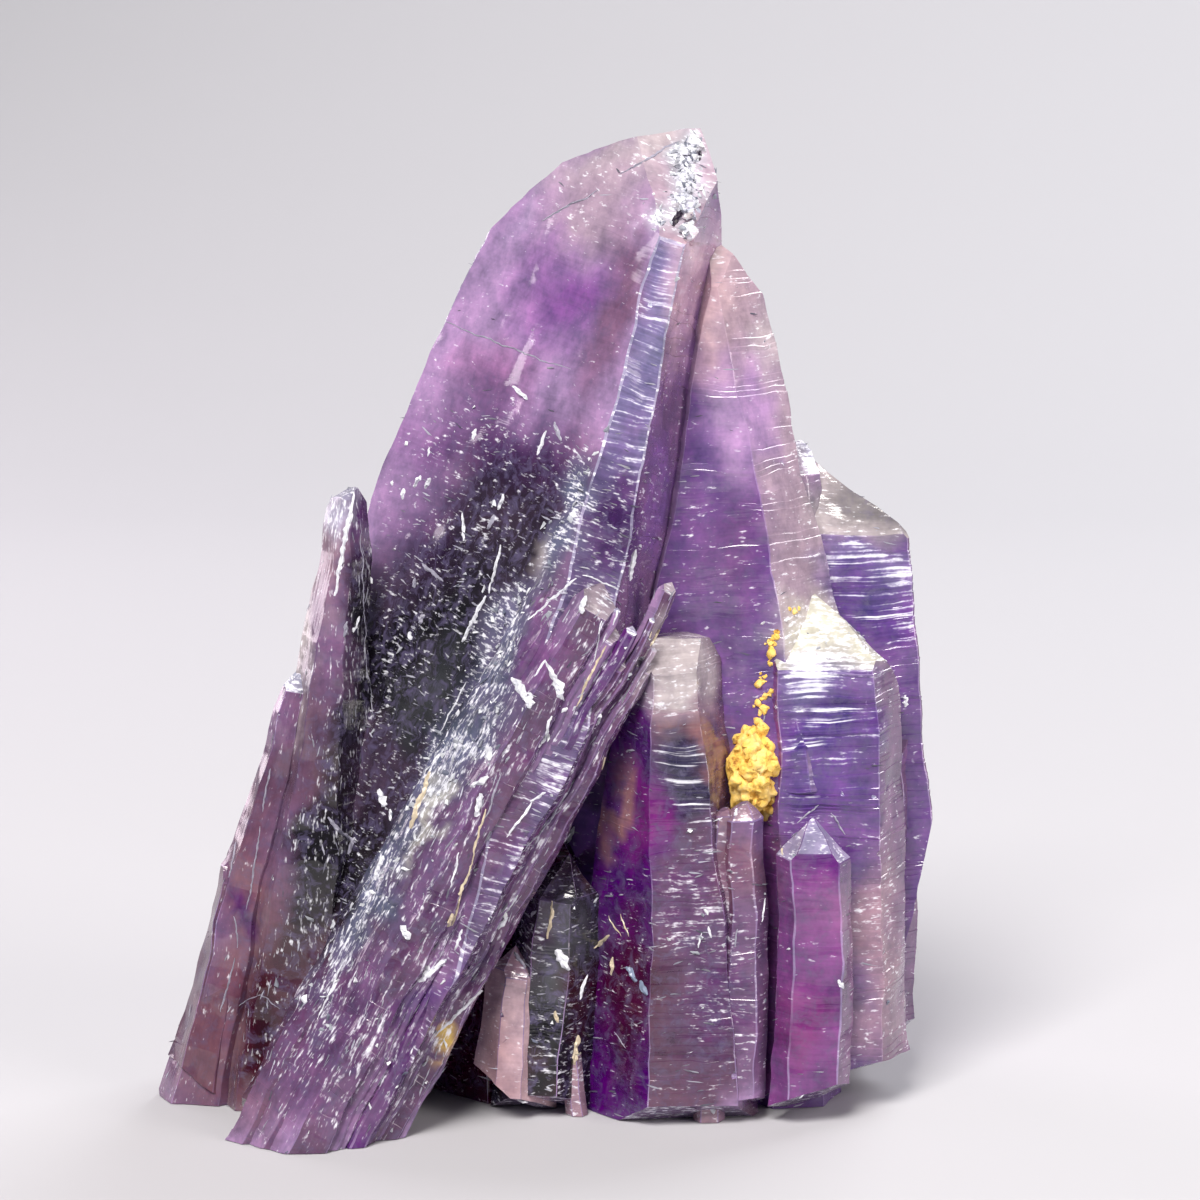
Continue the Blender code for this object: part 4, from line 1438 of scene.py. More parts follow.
@dataclass
class Scatter:
    """Etched quartz in many small shards, half sunk in the faces, thickest where the crystal is rough.

    Attributes:
        name: what the piece is called.
        layer: the layer that says how many there are.
        least: the least length, width and height over the face.
        most: the greatest.
        stray: how far they turn off the growth line.
        colours: the two between which each one's colour lies.
        shards: how many shapes they have.
        clusters: how far apart they gather.
        skew: how much commoner small ones are than large ones.
    """

    name: str
    layer: Layer
    least: Spot
    most: Spot
    stray: float = 18.0
    colours: tuple[str, str] = ("3c3a4c", "b4b4c4")
    shards: int = 6
    clusters: float = 1.6
    skew: float = 2.6
    seed: int = 3

    POINTS = 7
    CLUSTERED = {1: 0.38, 2: 0.66, 4: 3.0}  # below the first value of the noise none, above the second most
    TIPPED = 0.6  # how much of the stray tips them out of the face

    def build(self, quartz: Mesh, finish: Material) -> Object:
        """Scatters the shards over the quartz.

        Args:
            quartz: the dressed quartz, whose layers say where they stand.
            finish: their material.

        Returns:
            The shards as one object.
        """
        chance = random.Random(self.seed)
        shapes = []
        for _ in range(self.shards):
            shard = lump(MIDDLE.copy(), 0.5 / MM, self.POINTS, Tint.FROST, chance)
            shapes.append(object_of(shard.mesh("shard")))
        made = run_tree(
            self.tree(shapes), quartz, self.name, Least=[size * MM for size in self.least],
            Most=[size * MM for size in self.most], Stray=radians(self.stray), Clusters=self.clusters * MM,
            Skew=self.skew, Seed=self.seed, Finish=finish)
        drop(shapes)
        keep_inside(made)
        return object_of(made)

    def tree(self, shapes: Sequence[Object]) -> GeometryNodeTree:
        """Builds the tree that scatters the shapes along the growth lines.

        Args:
            shapes: the shards' shapes.

        Returns:
            The tree, without an object of its own.
        """
        tree, group = geometry_tree(self.name, Least="Vector", Most="Vector", Stray="Float",
                                    Clusters="Float", Skew="Float", Seed="Int", Finish="Material")
        given = group.outputs
        density = add_node(tree, "GeometryNodeInputNamedAttribute", {"Name": self.layer.value},
                           data_type="FLOAT")
        rate = add_node(tree, "ShaderNodeMath", {0: 1.0, 1: given["Clusters"]}, operation="DIVIDE")
        patch = add_node(tree, "ShaderNodeTexNoise", {
            "Vector": add_node(tree, "GeometryNodeInputPosition"), "Scale": rate, "Detail": 2.0})
        gathered = add_node(tree, "ShaderNodeMapRange", {0: patch, **self.CLUSTERED})
        count = add_node(tree, "ShaderNodeMath", {0: density, 1: gathered}, operation="MULTIPLY")
        points = add_node(tree, "GeometryNodeDistributePointsOnFaces", {
            "Mesh": given["Geometry"], "Density": count, "Seed": given["Seed"]}).outputs
        kinds = add_node(tree, "GeometryNodeJoinGeometry")
        for shape in shapes:
            info = add_node(tree, "GeometryNodeObjectInfo", {"Object": shape, "As Instance": True})
            tree.links.new(info.outputs["Geometry"], kinds.inputs[0])
        set_down = add_node(tree, "GeometryNodeInstanceOnPoints", {
            "Points": points["Points"], "Instance": kinds, "Pick Instance": True,
            "Rotation": self.turned(tree, points["Rotation"], given),
            "Scale": self.sized(tree, given)})
        shade = add_node(tree, "FunctionNodeRandomValue", {2: 0.0, 3: 1.0, "Seed": 2}).outputs[1]
        colour = add_node(tree, "ShaderNodeMix", {
            0: shade, 6: linear(self.colours[0]), 7: linear(self.colours[1])}, data_type="RGBA").outputs[2]
        told = add_node(tree, "GeometryNodeStoreNamedAttribute", {
            0: set_down, "Name": Layer.SHADE.value, "Value": colour},
            data_type="FLOAT_COLOR", domain="INSTANCE")
        real = add_node(tree, "GeometryNodeRealizeInstances", {0: told})
        dressed = add_node(tree, "GeometryNodeSetMaterial", {0: real, "Material": given["Finish"]})
        add_node(tree, "NodeGroupOutput", {0: dressed})
        return tree

    def turned(self, tree: GeometryNodeTree, standing: NodeSocket, given: Sequence[NodeSocket]) -> Node:
        """Lays each shard along the growth line, off it by a random angle.

        Args:
            tree: the tree.
            standing: the rotation that stands it on its face.
            given: the tree's inputs.

        Returns:
            A node with the rotation.
        """
        flow = add_node(tree, "GeometryNodeInputNamedAttribute", {"Name": Layer.FLOW.value},
                        data_type="FLOAT_VECTOR")
        laid = add_node(tree, "FunctionNodeAlignRotationToVector", {
            "Rotation": standing, "Vector": flow}, axis="X", pivot_axis="Z")
        least, most = (add_node(tree, "ShaderNodeVectorMath", {
            0: (self.TIPPED * sign, self.TIPPED * sign, sign), "Scale": given["Stray"]}, operation="SCALE")
            for sign in (-1.0, 1.0))
        stray = add_node(tree, "FunctionNodeRandomValue", {0: least, 1: most, "Seed": given["Seed"]},
                         data_type="FLOAT_VECTOR")
        return add_node(tree, "FunctionNodeRotateRotation", {0: laid, 1: stray}, rotation_space="LOCAL")

    def sized(self, tree: GeometryNodeTree, given: Sequence[NodeSocket]) -> NodeSocket:
        """Gives each shard a size, small ones more often than large ones.

        Args:
            tree: the tree.
            given: the tree's inputs.

        Returns:
            Its length, width and height.
        """
        even = add_node(tree, "FunctionNodeRandomValue", {2: 0.0, 3: 1.0, "Seed": 1}).outputs[1]
        skewed = add_node(tree, "ShaderNodeMath", {0: even, 1: given["Skew"]}, operation="POWER")
        return add_node(tree, "ShaderNodeMix", {0: skewed, 4: given["Least"], 5: given["Most"]},
                        data_type="VECTOR").outputs[1]


SCATTERS = (
    Scatter("growth_flecks", Layer.FLECKS, (0.14, 0.03, 0.02), (1.40, 0.13, 0.06), skew=2.2),
    Scatter("etched_crumbs", Layer.CRUMBS, (0.14, 0.10, 0.10), (0.70, 0.36, 0.30), stray=70.0,
            colours=("5c6278", "eceff4"), clusters=0.9, skew=1.8, seed=4),
)


def keep_inside(mesh: Mesh) -> None:
    """Moves what pokes out of the solids' box onto its sides.

    Args:
        mesh: any mesh in the specimen's place.
    """
    spots = np.zeros(len(mesh.vertices) * 3)
    mesh.vertices.foreach_get("co", spots)
    low, high = (np.array(corner) for corner in CAD_BOX)
    mesh.vertices.foreach_set("co", np.clip(spots.reshape(-1, 3), low, high).ravel())


@dataclass
class View:
    """Finds the place of the specimen that a point of the front view shows.

    Attributes:
        studio: where the view is from.
        meshes: what is seen.
    """

    studio: "Studio"
    meshes: Sequence[Mesh]

    def __post_init__(self) -> None:
        """Joins the meshes for the search."""
        spots, faces = [], []
        for mesh in self.meshes:
            faces += [[len(spots) + corner for corner in face.vertices] for face in mesh.polygons]
            spots += [corner.co for corner in mesh.vertices]
        self.tree = BVHTree.FromPolygons(spots, faces)

    def hit(self, right: float, up: float) -> tuple[Vector, Vector] | None:
        """Looks for a place.

        Args:
            right: how far right of the view's middle, in millimetres at the specimen.
            up: how far above it.

        Returns:
            The place in metres and the direction of its face, or None beside the specimen.
        """
        rise = radians(self.studio.elevation)
        aim = self.studio.target + Vector((right, up * sin(rise), up * cos(rise))) * MM
        place, normal, _, _ = self.tree.ray_cast(self.studio.eye(), aim - self.studio.eye())
        return (place, normal) if place else None


class Shade(Enum):
    """The colours of the seams and chips, and of the painted highlights among them."""

    WHITE = "dfe1ea"
    GREY = "9a98aa"
    CREAM = "cdbfa6"
    BLUE = "8593ac"
    DARK = "1c0b26"


# Each seam or chip, and each painted highlight among them: its middle right and up in the front view, its
# length, its width and its tilt from upright towards the right.
MARKS = {
    Shade.WHITE: (
        (-4, 10.35, 1, 0.28, -47), (-6.3, 8.3, 0.55, 0.28, 15), (-8.55, 7.4, 0.45, 0.16, 10),
        (-10.35, 5.85, 0.25, 0.2, 0), (-9.15, 5.95, 0.65, 0.34, 40), (-8.55, 5.8, 0.6, 0.34, 30),
        (-9.85, 5.3, 0.55, 0.3, 0), (-6.85, 3.65, 1.4, 0.2, 0), (-4.95, 4.9, 0.85, 0.24, 20),
        (-5.25, 1.55, 2.5, 0.18, 12), (-6.3, -0.95, 2.6, 0.26, 27), (-2.9, 7.85, 1.3, 0.22, 20),
        (-9.5, -1.8, 0.4, 0.35, 0), (-12.75, 2.95, 5.6, 0.26, 10), (-12.15, -1.15, 0.7, 0.2, 25),
        (-2.4, 0.05, 3.2, 0.16, 50), (0.15, 0.85, 2.2, 0.1, -65), (0.9, -0.45, 1.7, 0.1, 20),
        (-0.8, -0.25, 0.9, 0.4, 10), (-0.1, -2, 2.2, 0.08, 10), (-4, -4.4, 1.3, 0.5, -35),
        (-3.5, -5.05, 0.7, 0.5, 10), (-3, -3.4, 1, 0.16, 35), (-2.25, -4, 2.2, 0.3, -24),
        (-2.05, -4.45, 1, 0.5, -15), (-2.7, -6.6, 1.7, 0.2, 23), (-5.5, -7.7, 0.7, 0.5, 0),
        (-6, -9.1, 1, 0.35, 60), (-6.1, -10.25, 1.2, 0.4, 10), (-3.1, -9.85, 0.9, 0.16, 60),
        (-3.75, -10.6, 1.2, 0.16, 35), (-0.05, -5.95, 0.5, 0.3, 0), (-7.4, -5.4, 3, 0.1, 27),
        (1.6, 1.75, 1.6, 0.35, 10), (-7.25, -13.5, 1.8, 0.12, 14), (-4.1, -11.1, 1.9, 0.12, 35),
        # The mark at (-1.9, -18) is a painted glint: a white spot for a highlight on the dark crystal in
        # the cleft.
        (-1.45, -11.75, 0.9, 0.3, 20), (-1.9, -18, 1.2, 0.5, -35), (-0.85, -19.35, 1.3, 0.22, 15),
        (-4.45, -15.3, 1.3, 0.12, 35), (-4.85, -16.15, 0.8, 0.25, 35), (-9.7, -16.6, 0.8, 0.45, -30),
        (-7.05, -17, 1.1, 0.2, 25), (-8.4, -18.5, 1.8, 0.4, 50), (-6.75, -20.35, 4.2, 0.2, 45),
        (-10.9, -9.9, 0.9, 0.55, -25), (-10.5, -10.75, 0.6, 0.25, 0), (-11.05, -13.4, 1.3, 0.3, 15),
        (-11.9, -14.6, 2, 0.3, 35), (-12.95, -15.9, 1.4, 0.5, 45), (-13.5, -19.6, 3, 0.14, 25),
        (-14.8, -19.7, 0.9, 0.4, -15), (5, -17, 0.8, 0.12, 12), (5.5, -16.6, 0.6, 0.12, -15),
        (6.8, -10.6, 0.4, 0.2, 20), (8.2, -15.5, 1.2, 0.12, 4), (5.9, -11, 0.5, 0.1, 70),
        (12.05, -19.2, 0.5, 0.25, -25), (15, -3.95, 0.9, 0.4, 20), (15.3, -5.05, 0.6, 0.3, 0),
    ),
    Shade.GREY: (
        # The first two marks are a painted highlight: a bright rim along the leaning crystal's outline near
        # its top.
        (-1.5, 19.75, 3.2, 0.12, 62), (2.5, 22.1, 3.4, 0.14, 60), (-2.15, 8.4, 1, 0.24, -20),
        (-5.45, 3.9, 0.8, 0.28, 25), (-8.4, 1.35, 1.4, 0.2, -50),
        (-9.25, 0.85, 0.5, 0.3, 0), (-8.9, -0.95, 0.5, 0.35, 30), (-11.85, 0.75, 6.6, 0.07, -2),
        (-11.5, -4.2, 3.4, 0.07, -7), (-12.75, -1.45, 0.8, 0.25, 15), (-5.35, -9.85, 2.6, 0.1, 20),
        (-1.85, -9.95, 2.3, 0.12, 33), (-2.95, -11.55, 3.1, 0.1, 41), (-3.3, -15.7, 0.4, 0.2, 30),
        (8.2, -6, 0.8, 0.1, 10), (10.4, -10.7, 1.4, 0.1, 48), (11.9, -11.2, 1.3, 0.1, -35),
        (-4, -18, 1, 0.2, -25), (-12.4, -12.3, 0.9, 0.25, 25), (-13.9, -17, 0.9, 0.1, -25),
        (-12.95, -11.55, 1.9, 0.26, -48), (-17.5, -20, 1.3, 0.06, 60), (-16.5, -20.1, 1.2, 0.06, -50),
        (-4.75, 12.75, 7, 0.08, -69), (6.8, -16.9, 0.9, 0.12, 0), (1, -22, 1, 0.08, -40),
        (-18.35, -13, 1.8, 0.14, 12), (-17.3, -13.4, 4.2, 0.1, 10), (-18.6, -19.25, 2.8, 0.1, 14),
        (-18.2, -16.6, 1.6, 0.08, -8), (-16.7, -9.5, 2.2, 0.1, 10),
    ),
    Shade.CREAM: (
        (-0.45, -3.8, 3.4, 0.14, 26), (3.1, 0, 4, 0.14, 18), (1.25, -5.6, 6.2, 0.16, 23),
        (2.85, -1.7, 1.4, 0.25, 35), (-6.1, -11.9, 3, 0.12, 16), (-6.95, -14.75, 3.2, 0.16, 18),
        (-7.5, -16, 0.7, 0.35, 15), (-2.5, -16, 1.9, 0.2, 8), (-1.15, -22.5, 1.5, 0.36, 5),
        (-2.2, -20.85, 0.6, 0.25, -20), (1.25, -16.25, 1.2, 0.1, -20), (0.75, -16.3, 1.2, 0.08, -30),
        (0.1, -17.1, 1, 0.25, 45), (0.6, -18.3, 0.9, 0.25, 10), (-9, -10, 3, 0.35, 20),
        (9, -11.75, 2, 0.2, -8),
    ),
    Shade.BLUE: ((1.6, -18.7, 0.9, 0.35, -35), (2.2, -19.4, 0.8, 0.4, -30)),
    Shade.DARK: ((5.75, 20.8, 1.7, 0.25, -15), (3.85, 19.1, 0.9, 0.35, 35), (5, 22.2, 0.5, 0.2, 10)),
}


@dataclass
class SeamsAndPaintedHighlights:
    """The long seams, cracks and chips of etched quartz that show one by one on the front, and a painted
    glint and bright rim.

    Attributes:
        step: the distance between their sections.
        sway: how far they stray from a straight line.
        depth: how thick they are for their width, and at most.
    """

    step: float = 0.16
    sway: float = 0.12
    depth: Pair = (0.4, 0.14)
    seed: int = 17

    NAME = "seams_and_chips"
    PROFILE = ((-1.0, 0.0), (-0.5, 0.9), (0.1, 1.0), (0.6, 0.8), (1.0, 0.0), (0.0, -1.0))
    LEAP = 5.0  # a mark ends where the next section would be this many steps away
    FEWEST = 6  # sections to a mark
    BEND = 1.2  # the rate of the sway, in waves a millimetre
    JITTER = 0.02
    END_WIDTH = 0.35  # of the middle's
    ROUNDED = 0.6  # the lower, the blunter the ends
    WIDTHS = (0.45, 1.35)  # how much a section's corners vary
    HEIGHTS = (0.3, 1.5)

    def build(self, view: View, finish: Material) -> Object:
        """Lays every mark on what the view shows.

        Args:
            view: where the marks' places are seen from.
            finish: their material.

        Returns:
            The marks as one object.
        """
        chance = random.Random(self.seed)
        bm = bmesh.new()
        tint = bm.loops.layers.float_color.new(Layer.SHADE.value)
        for shade, marks in MARKS.items():
            for right, up, length, width, tilt in marks:
                rings = self.rings(view, (right, up), length, width, radians(tilt), chance)
                for face in self.joined(bm, rings):
                    for corner in face.loops:
                        corner[tint] = linear(shade.value)
        bmesh.ops.recalc_face_normals(bm, faces=bm.faces[:])
        bmesh.ops.triangulate(bm, faces=bm.faces[:])
        mesh = bpy.data.meshes.new(self.NAME)
        bm.to_mesh(mesh)
        bm.free()
        keep_inside(mesh)
        mesh.materials.append(finish)
        return object_of(mesh)

    def rings(self, view: View, middle: Pair, length: float, width: float, tilt: float,
              chance: random.Random) -> list[list[Vector]]:
        """Places the sections of one mark, and stops where the surface falls away.

        Args:
            view: where it is seen from.
            middle: its middle right and up in the view.
            length: its length.
            width: its greatest width.
            tilt: from upright towards the right, in radians.
            chance: where its random values come from.

        Returns:
            The corners of each section, or nothing if it would be too short.
        """
        count = max(self.FEWEST, ceil(length / self.step) + 1)
        found = []
        for number in range(count):
            share = number / (count - 1)
            along = (share - 0.5) * length
            aside = self.sway * noise.noise(Vector((*middle, along * self.BEND)))
            aside += chance.uniform(-self.JITTER, self.JITTER)
            hit = view.hit(middle[0] + along * sin(tilt) + aside * cos(tilt),
                           middle[1] + along * cos(tilt) - aside * sin(tilt))
            if hit is None or found and (hit[0] - found[-1][0]).length > self.LEAP * self.step * MM:
                break
            swell = (1.0 - self.END_WIDTH) * sin(pi * share) ** self.ROUNDED
            found.append((*hit, width * (self.END_WIDTH + swell)))
        if len(found) < self.FEWEST / 2:
            return []
        run = (found[-1][0] - found[0][0]).normalized()
        rings = []
        for place, normal, wide in found:
            side = normal.cross(run).normalized()
            high = min(self.depth[0] * wide, self.depth[1])
            rings.append([place + (side * (across * wide / 2 * chance.uniform(*self.WIDTHS)) + normal * (
                rise * high * chance.uniform(*self.HEIGHTS))) * MM for across, rise in self.PROFILE])
        return rings

    def joined(self, bm: BMesh, rings: list[list[Vector]]) -> list[BMFace]:
        """Closes the sections of one mark into a solid.

        Args:
            bm: where the marks are collected.
            rings: the corners of each section.

        Returns:
            Its faces.
        """
        if not rings:
            return []
        rows = [[bm.verts.new(spot) for spot in ring] for ring in rings]
        sides = len(self.PROFILE)
        faces = [bm.faces.new(rows[0]), bm.faces.new(rows[-1])]
        for upper, lower in zip(rows, rows[1:]):
            for side in range(sides):
                after = (side + 1) % sides
                faces.append(bm.faces.new((upper[side], upper[after], lower[after], lower[side])))
        return faces


@dataclass(frozen=True)
class FrostFinish:
    """Etched quartz: white to violet grey, with a broken gloss.

    Attributes:
        patches: the size of its lighter and darker patches.
        values: how dark and how light they are.
        gloss: its roughness.
    """

    patches: float = 0.5
    values: Pair = (0.7, 1.1)
    gloss: float = 0.35

    def material(self) -> Material:
        """Makes the material, whose colour each shard, seam and painted highlight brings along."""
        made, tree, shader = new_material("etched_quartz_frost")
        place = add_node(tree, "ShaderNodeTexCoord").outputs["Object"]
        own = add_node(tree, "ShaderNodeAttribute", attribute_name=Layer.SHADE.value).outputs["Color"]
        patch = add_node(tree, "ShaderNodeTexNoise", {
            "Vector": place, "Scale": 1 / (self.patches * MM), "Detail": 2.0, "Roughness": 0.7})
        value = add_node(tree, "ShaderNodeMapRange", {
            0: patch.outputs["Fac"], **NOISE_SPAN, 3: self.values[0], 4: self.values[1]})
        colour = add_node(tree, "ShaderNodeHueSaturation", {"Color": own, "Value": value})
        wire(tree, shader, {"Base Color": colour, "Roughness": self.gloss, "IOR": QUARTZ_IOR})
        return made


@dataclass
class AmethystFinish:
    """Natural amethyst: grown quartz with iron colour, clear to cloudy, glassy on its fresh faces.

    The eye gets a wet gloss over a colour that lies in clouds and in thin growth bands, and white frost
    where the crystal is etched, cracked or worn.

    Attributes:
        absorbed: the colour that clear quartz keeps.
        density: how strongly it absorbs, per metre.
        flaw: what the flaws inside the dark quartz throw back.
        frost_white: the frost's own colour.
        gloss: the roughness of a clean face and of frost.
        clouds: the size of the clouds of colour.
        flaws: the size of the flaws.
        crumbs: the size of the frost's crumbs.
        grains: the size of its grains.
        bands: how many growth bands there are in a millimetre, along them and across them.
        dashes: how many dashes of frost.
        lines: how many raised lines.
    """

    absorbed: str = "a078cc"
    density: float = 150.0
    flaw: str = "6c6488"
    frost_white: str = "e9eaf4"
    gloss: Pair = (0.09, 0.5)
    clouds: float = 2.2
    flaws: float = 0.7
    crumbs: float = 0.4
    grains: float = 0.22
    bands: Pair = (0.13, 3.6)
    dashes: Pair = (1.5, 5.0)
    lines: Pair = (0.25, 6.0)

    def material(self) -> Material:
        """Makes the material, one Principled shader over a constant absorption."""
        made, self.tree, shader = new_material("natural_amethyst_quartz")
        self.place = self.node("ShaderNodeTexCoord").outputs["Object"]
        self.grain = self.node("ShaderNodeUVMap", uv_map=Layer.GRAIN.value).outputs["UV"]
        tint, character = (self.node("ShaderNodeAttribute", attribute_name=layer.value).outputs["Color"]
                           for layer in (Layer.TINT, Layer.CHARACTER))
        clear, self.frosted, self.lined = self.node("ShaderNodeSeparateColor", {0: character}).outputs
        self.cloud = self.speckled(self.clouds, Detail=4.0, Roughness=0.72)
        self.band = self.streaked(self.bands, 2.0)
        colour = self.flawed(self.clouded(tint))
        white = self.frost()
        base = self.node("ShaderNodeMix", {0: white, 6: colour, 7: linear(self.frost_white)},
                         data_type="RGBA").outputs[2]
        hazed = self.node("ShaderNodeMath", {0: 1.0, 1: white}, operation="SUBTRACT")
        through = self.node("ShaderNodeMath", {0: clear, 1: hazed}, operation="MULTIPLY")
        rough = self.node("ShaderNodeMapRange", {0: white, 3: self.gloss[0], 4: self.gloss[1]})
        wire(self.tree, shader, {
            "Base Color": base, "Roughness": rough, "IOR": QUARTZ_IOR, "Transmission Weight": through,
            "Normal": self.relief(white)})
        body = self.node("ShaderNodeVolumeAbsorption",
                         {"Color": linear(self.absorbed), "Density": self.density})
        wire(self.tree, self.tree.nodes["Material Output"], {"Volume": body})
        return made

    def node(self, kind: str, inputs: dict[str | int, object] | None = None, **settings: object) -> Node:
        """Adds a node to the material's tree, as add_node does."""
        return add_node(self.tree, kind, inputs, **settings)

    def speckled(self, size: float, **settings: float) -> NodeSocket:
        """Makes a noise with lumps of this size, in millimetres, and the noise node's other inputs."""
        inputs = {"Vector": self.place, "Scale": 1 / (size * MM), **settings}
        return self.node("ShaderNodeTexNoise", inputs).outputs["Fac"]

    def streaked(self, rate: Pair, detail: float) -> NodeSocket:
        """Makes streaks along the growth lines.

        Args:
            rate: how many there are in a millimetre, along the lines and across them.
            detail: how finely they are broken.

        Returns:
            The pattern, from 0 to 1.
        """
        stretched = self.node("ShaderNodeMapping", {"Vector": self.grain, "Scale": (*rate, 1.0)})
        return self.node("ShaderNodeTexNoise", {
            "Vector": stretched, "Scale": 1.0, "Detail": detail, "Roughness": 0.65},
            noise_dimensions="2D").outputs["Fac"]

    def clouded(self, colour: NodeSocket) -> NodeSocket:
        """Varies a colour in soft clouds and, where it is lined, in thin growth bands.

        Args:
            colour: the colour.

        Returns:
            The varied colour.
        """
        strength = self.node("ShaderNodeMapRange", {0: self.lined, 3: 0.06, 4: 1.0})
        band = self.node("ShaderNodeMix", {0: strength, 2: 0.5, 3: self.band})
        mixed = self.node("ShaderNodeMath", {0: self.cloud, 1: band}, operation="ADD")
        value = self.node("ShaderNodeMapRange", {0: mixed, 1: 0.72, 2: 1.28, 3: 0.5, 4: 1.5})
        hue = self.node("ShaderNodeMapRange", {0: self.cloud, **NOISE_SPAN, 3: 0.475, 4: 0.525})
        return self.node("ShaderNodeHueSaturation",
                         {"Color": colour, "Hue": hue, "Value": value, "Saturation": 1.12}).outputs[0]

    def flawed(self, colour: NodeSocket) -> NodeSocket:
        """Breaks a colour with a mosaic of lit flaws, which show most where it is dark.

        Args:
            colour: the colour.

        Returns:
            The colour with its flaws.
        """
        mosaic = self.speckled(self.flaws, Detail=3.0, Roughness=0.75, Distortion=0.7)
        dark = self.node("ShaderNodeRGBToBW", {0: colour})
        most = self.node("ShaderNodeMapRange", {0: dark, 1: 0.03, 2: 0.3, 3: 0.6, 4: 0.1})
        share = self.node("ShaderNodeMapRange", {0: mosaic, 1: 0.47, 2: 0.68, 4: most})
        return self.node("ShaderNodeMix", {0: share, 6: colour, 7: linear(self.flaw)},
                         data_type="RGBA").outputs[2]

    def frost(self) -> NodeSocket:
        """Breaks the frost into growth lines, dashes and crumbs.

        Returns:
            How white each place is, from 0 to 1.
        """
        dashes = self.streaked(self.dashes, 2.0)
        crumbs = self.speckled(self.crumbs, Detail=2.0, Roughness=0.7)
        flecks = self.node("ShaderNodeMix", {0: 0.35, 2: dashes, 3: crumbs})
        pattern = self.node("ShaderNodeMix", {0: self.lined, 2: flecks, 3: self.band})
        patchy = self.node("ShaderNodeMapRange", {0: self.cloud, **NOISE_SPAN, 3: -0.06, 4: 0.06})
        raised = self.node("ShaderNodeMath", {0: pattern, 1: patchy}, operation="ADD")
        least = self.node("ShaderNodeMapRange", {0: self.frosted, 3: 0.78, 4: 0.22})
        above = self.node("ShaderNodeMath", {0: raised, 1: least}, operation="SUBTRACT")
        return self.node("ShaderNodeMapRange", {0: above, 1: -0.045, 2: 0.09, 4: 0.92}).outputs[0]

    def relief(self, white: NodeSocket) -> NodeSocket:
        """Raises fine growth lines, and grains where the frost is white.

        Args:
            white: how white the frost is.

        Returns:
            The surface's direction.
        """
        lines = self.streaked(self.lines, 1.0)
        first = self.node("ShaderNodeBump", {"Height": lines, "Strength": 0.2, "Distance": 0.06 * MM})
        return self.node("ShaderNodeBump", {
            "Height": self.speckled(self.grains, Detail=1.0), "Strength": white, "Distance": 0.07 * MM,
            "Normal": first}).outputs[0]


@dataclass(frozen=True)
class OchreFinish:
    """Iron ochre: earthy, matte, golden yellow with brown stains.

    Attributes:
        shades: the colours, each from this share of its patches on.
        patches: their size.
        grains: the size of its grains.
        gloss: its roughness.
    """

    shades: tuple[tuple[float, str], ...] = ((0.35, "96601e"), (0.46, "f2c65c"), (0.68, "f6da92"))
    patches: float = 0.8
    grains: float = 0.2
    gloss: float = 0.8

    def material(self) -> Material:
        """Makes the material."""
        made, tree, shader = new_material("iron_ochre_crust")
        place = add_node(tree, "ShaderNodeTexCoord").outputs["Object"]
        patch, fine = (add_node(tree, "ShaderNodeTexNoise", {
            "Vector": place, "Scale": 1 / (size * MM), "Detail": detail, "Roughness": 0.7}).outputs["Fac"]
            for size, detail in ((self.patches, 6.0), (self.grains, 4.0)))
        ramp = add_node(tree, "ShaderNodeValToRGB", {0: patch})
        shades = ramp.color_ramp.elements
        shades.new(0.5)
        for shade, (start, colour) in zip(shades, self.shades):
            shade.position, shade.color = start, linear(colour)
        bump = add_node(tree, "ShaderNodeBump", {"Height": fine, "Strength": 0.8, "Distance": 0.08 * MM})
        wire(tree, shader, {"Base Color": ramp, "Roughness": self.gloss, "Normal": bump})
        return made


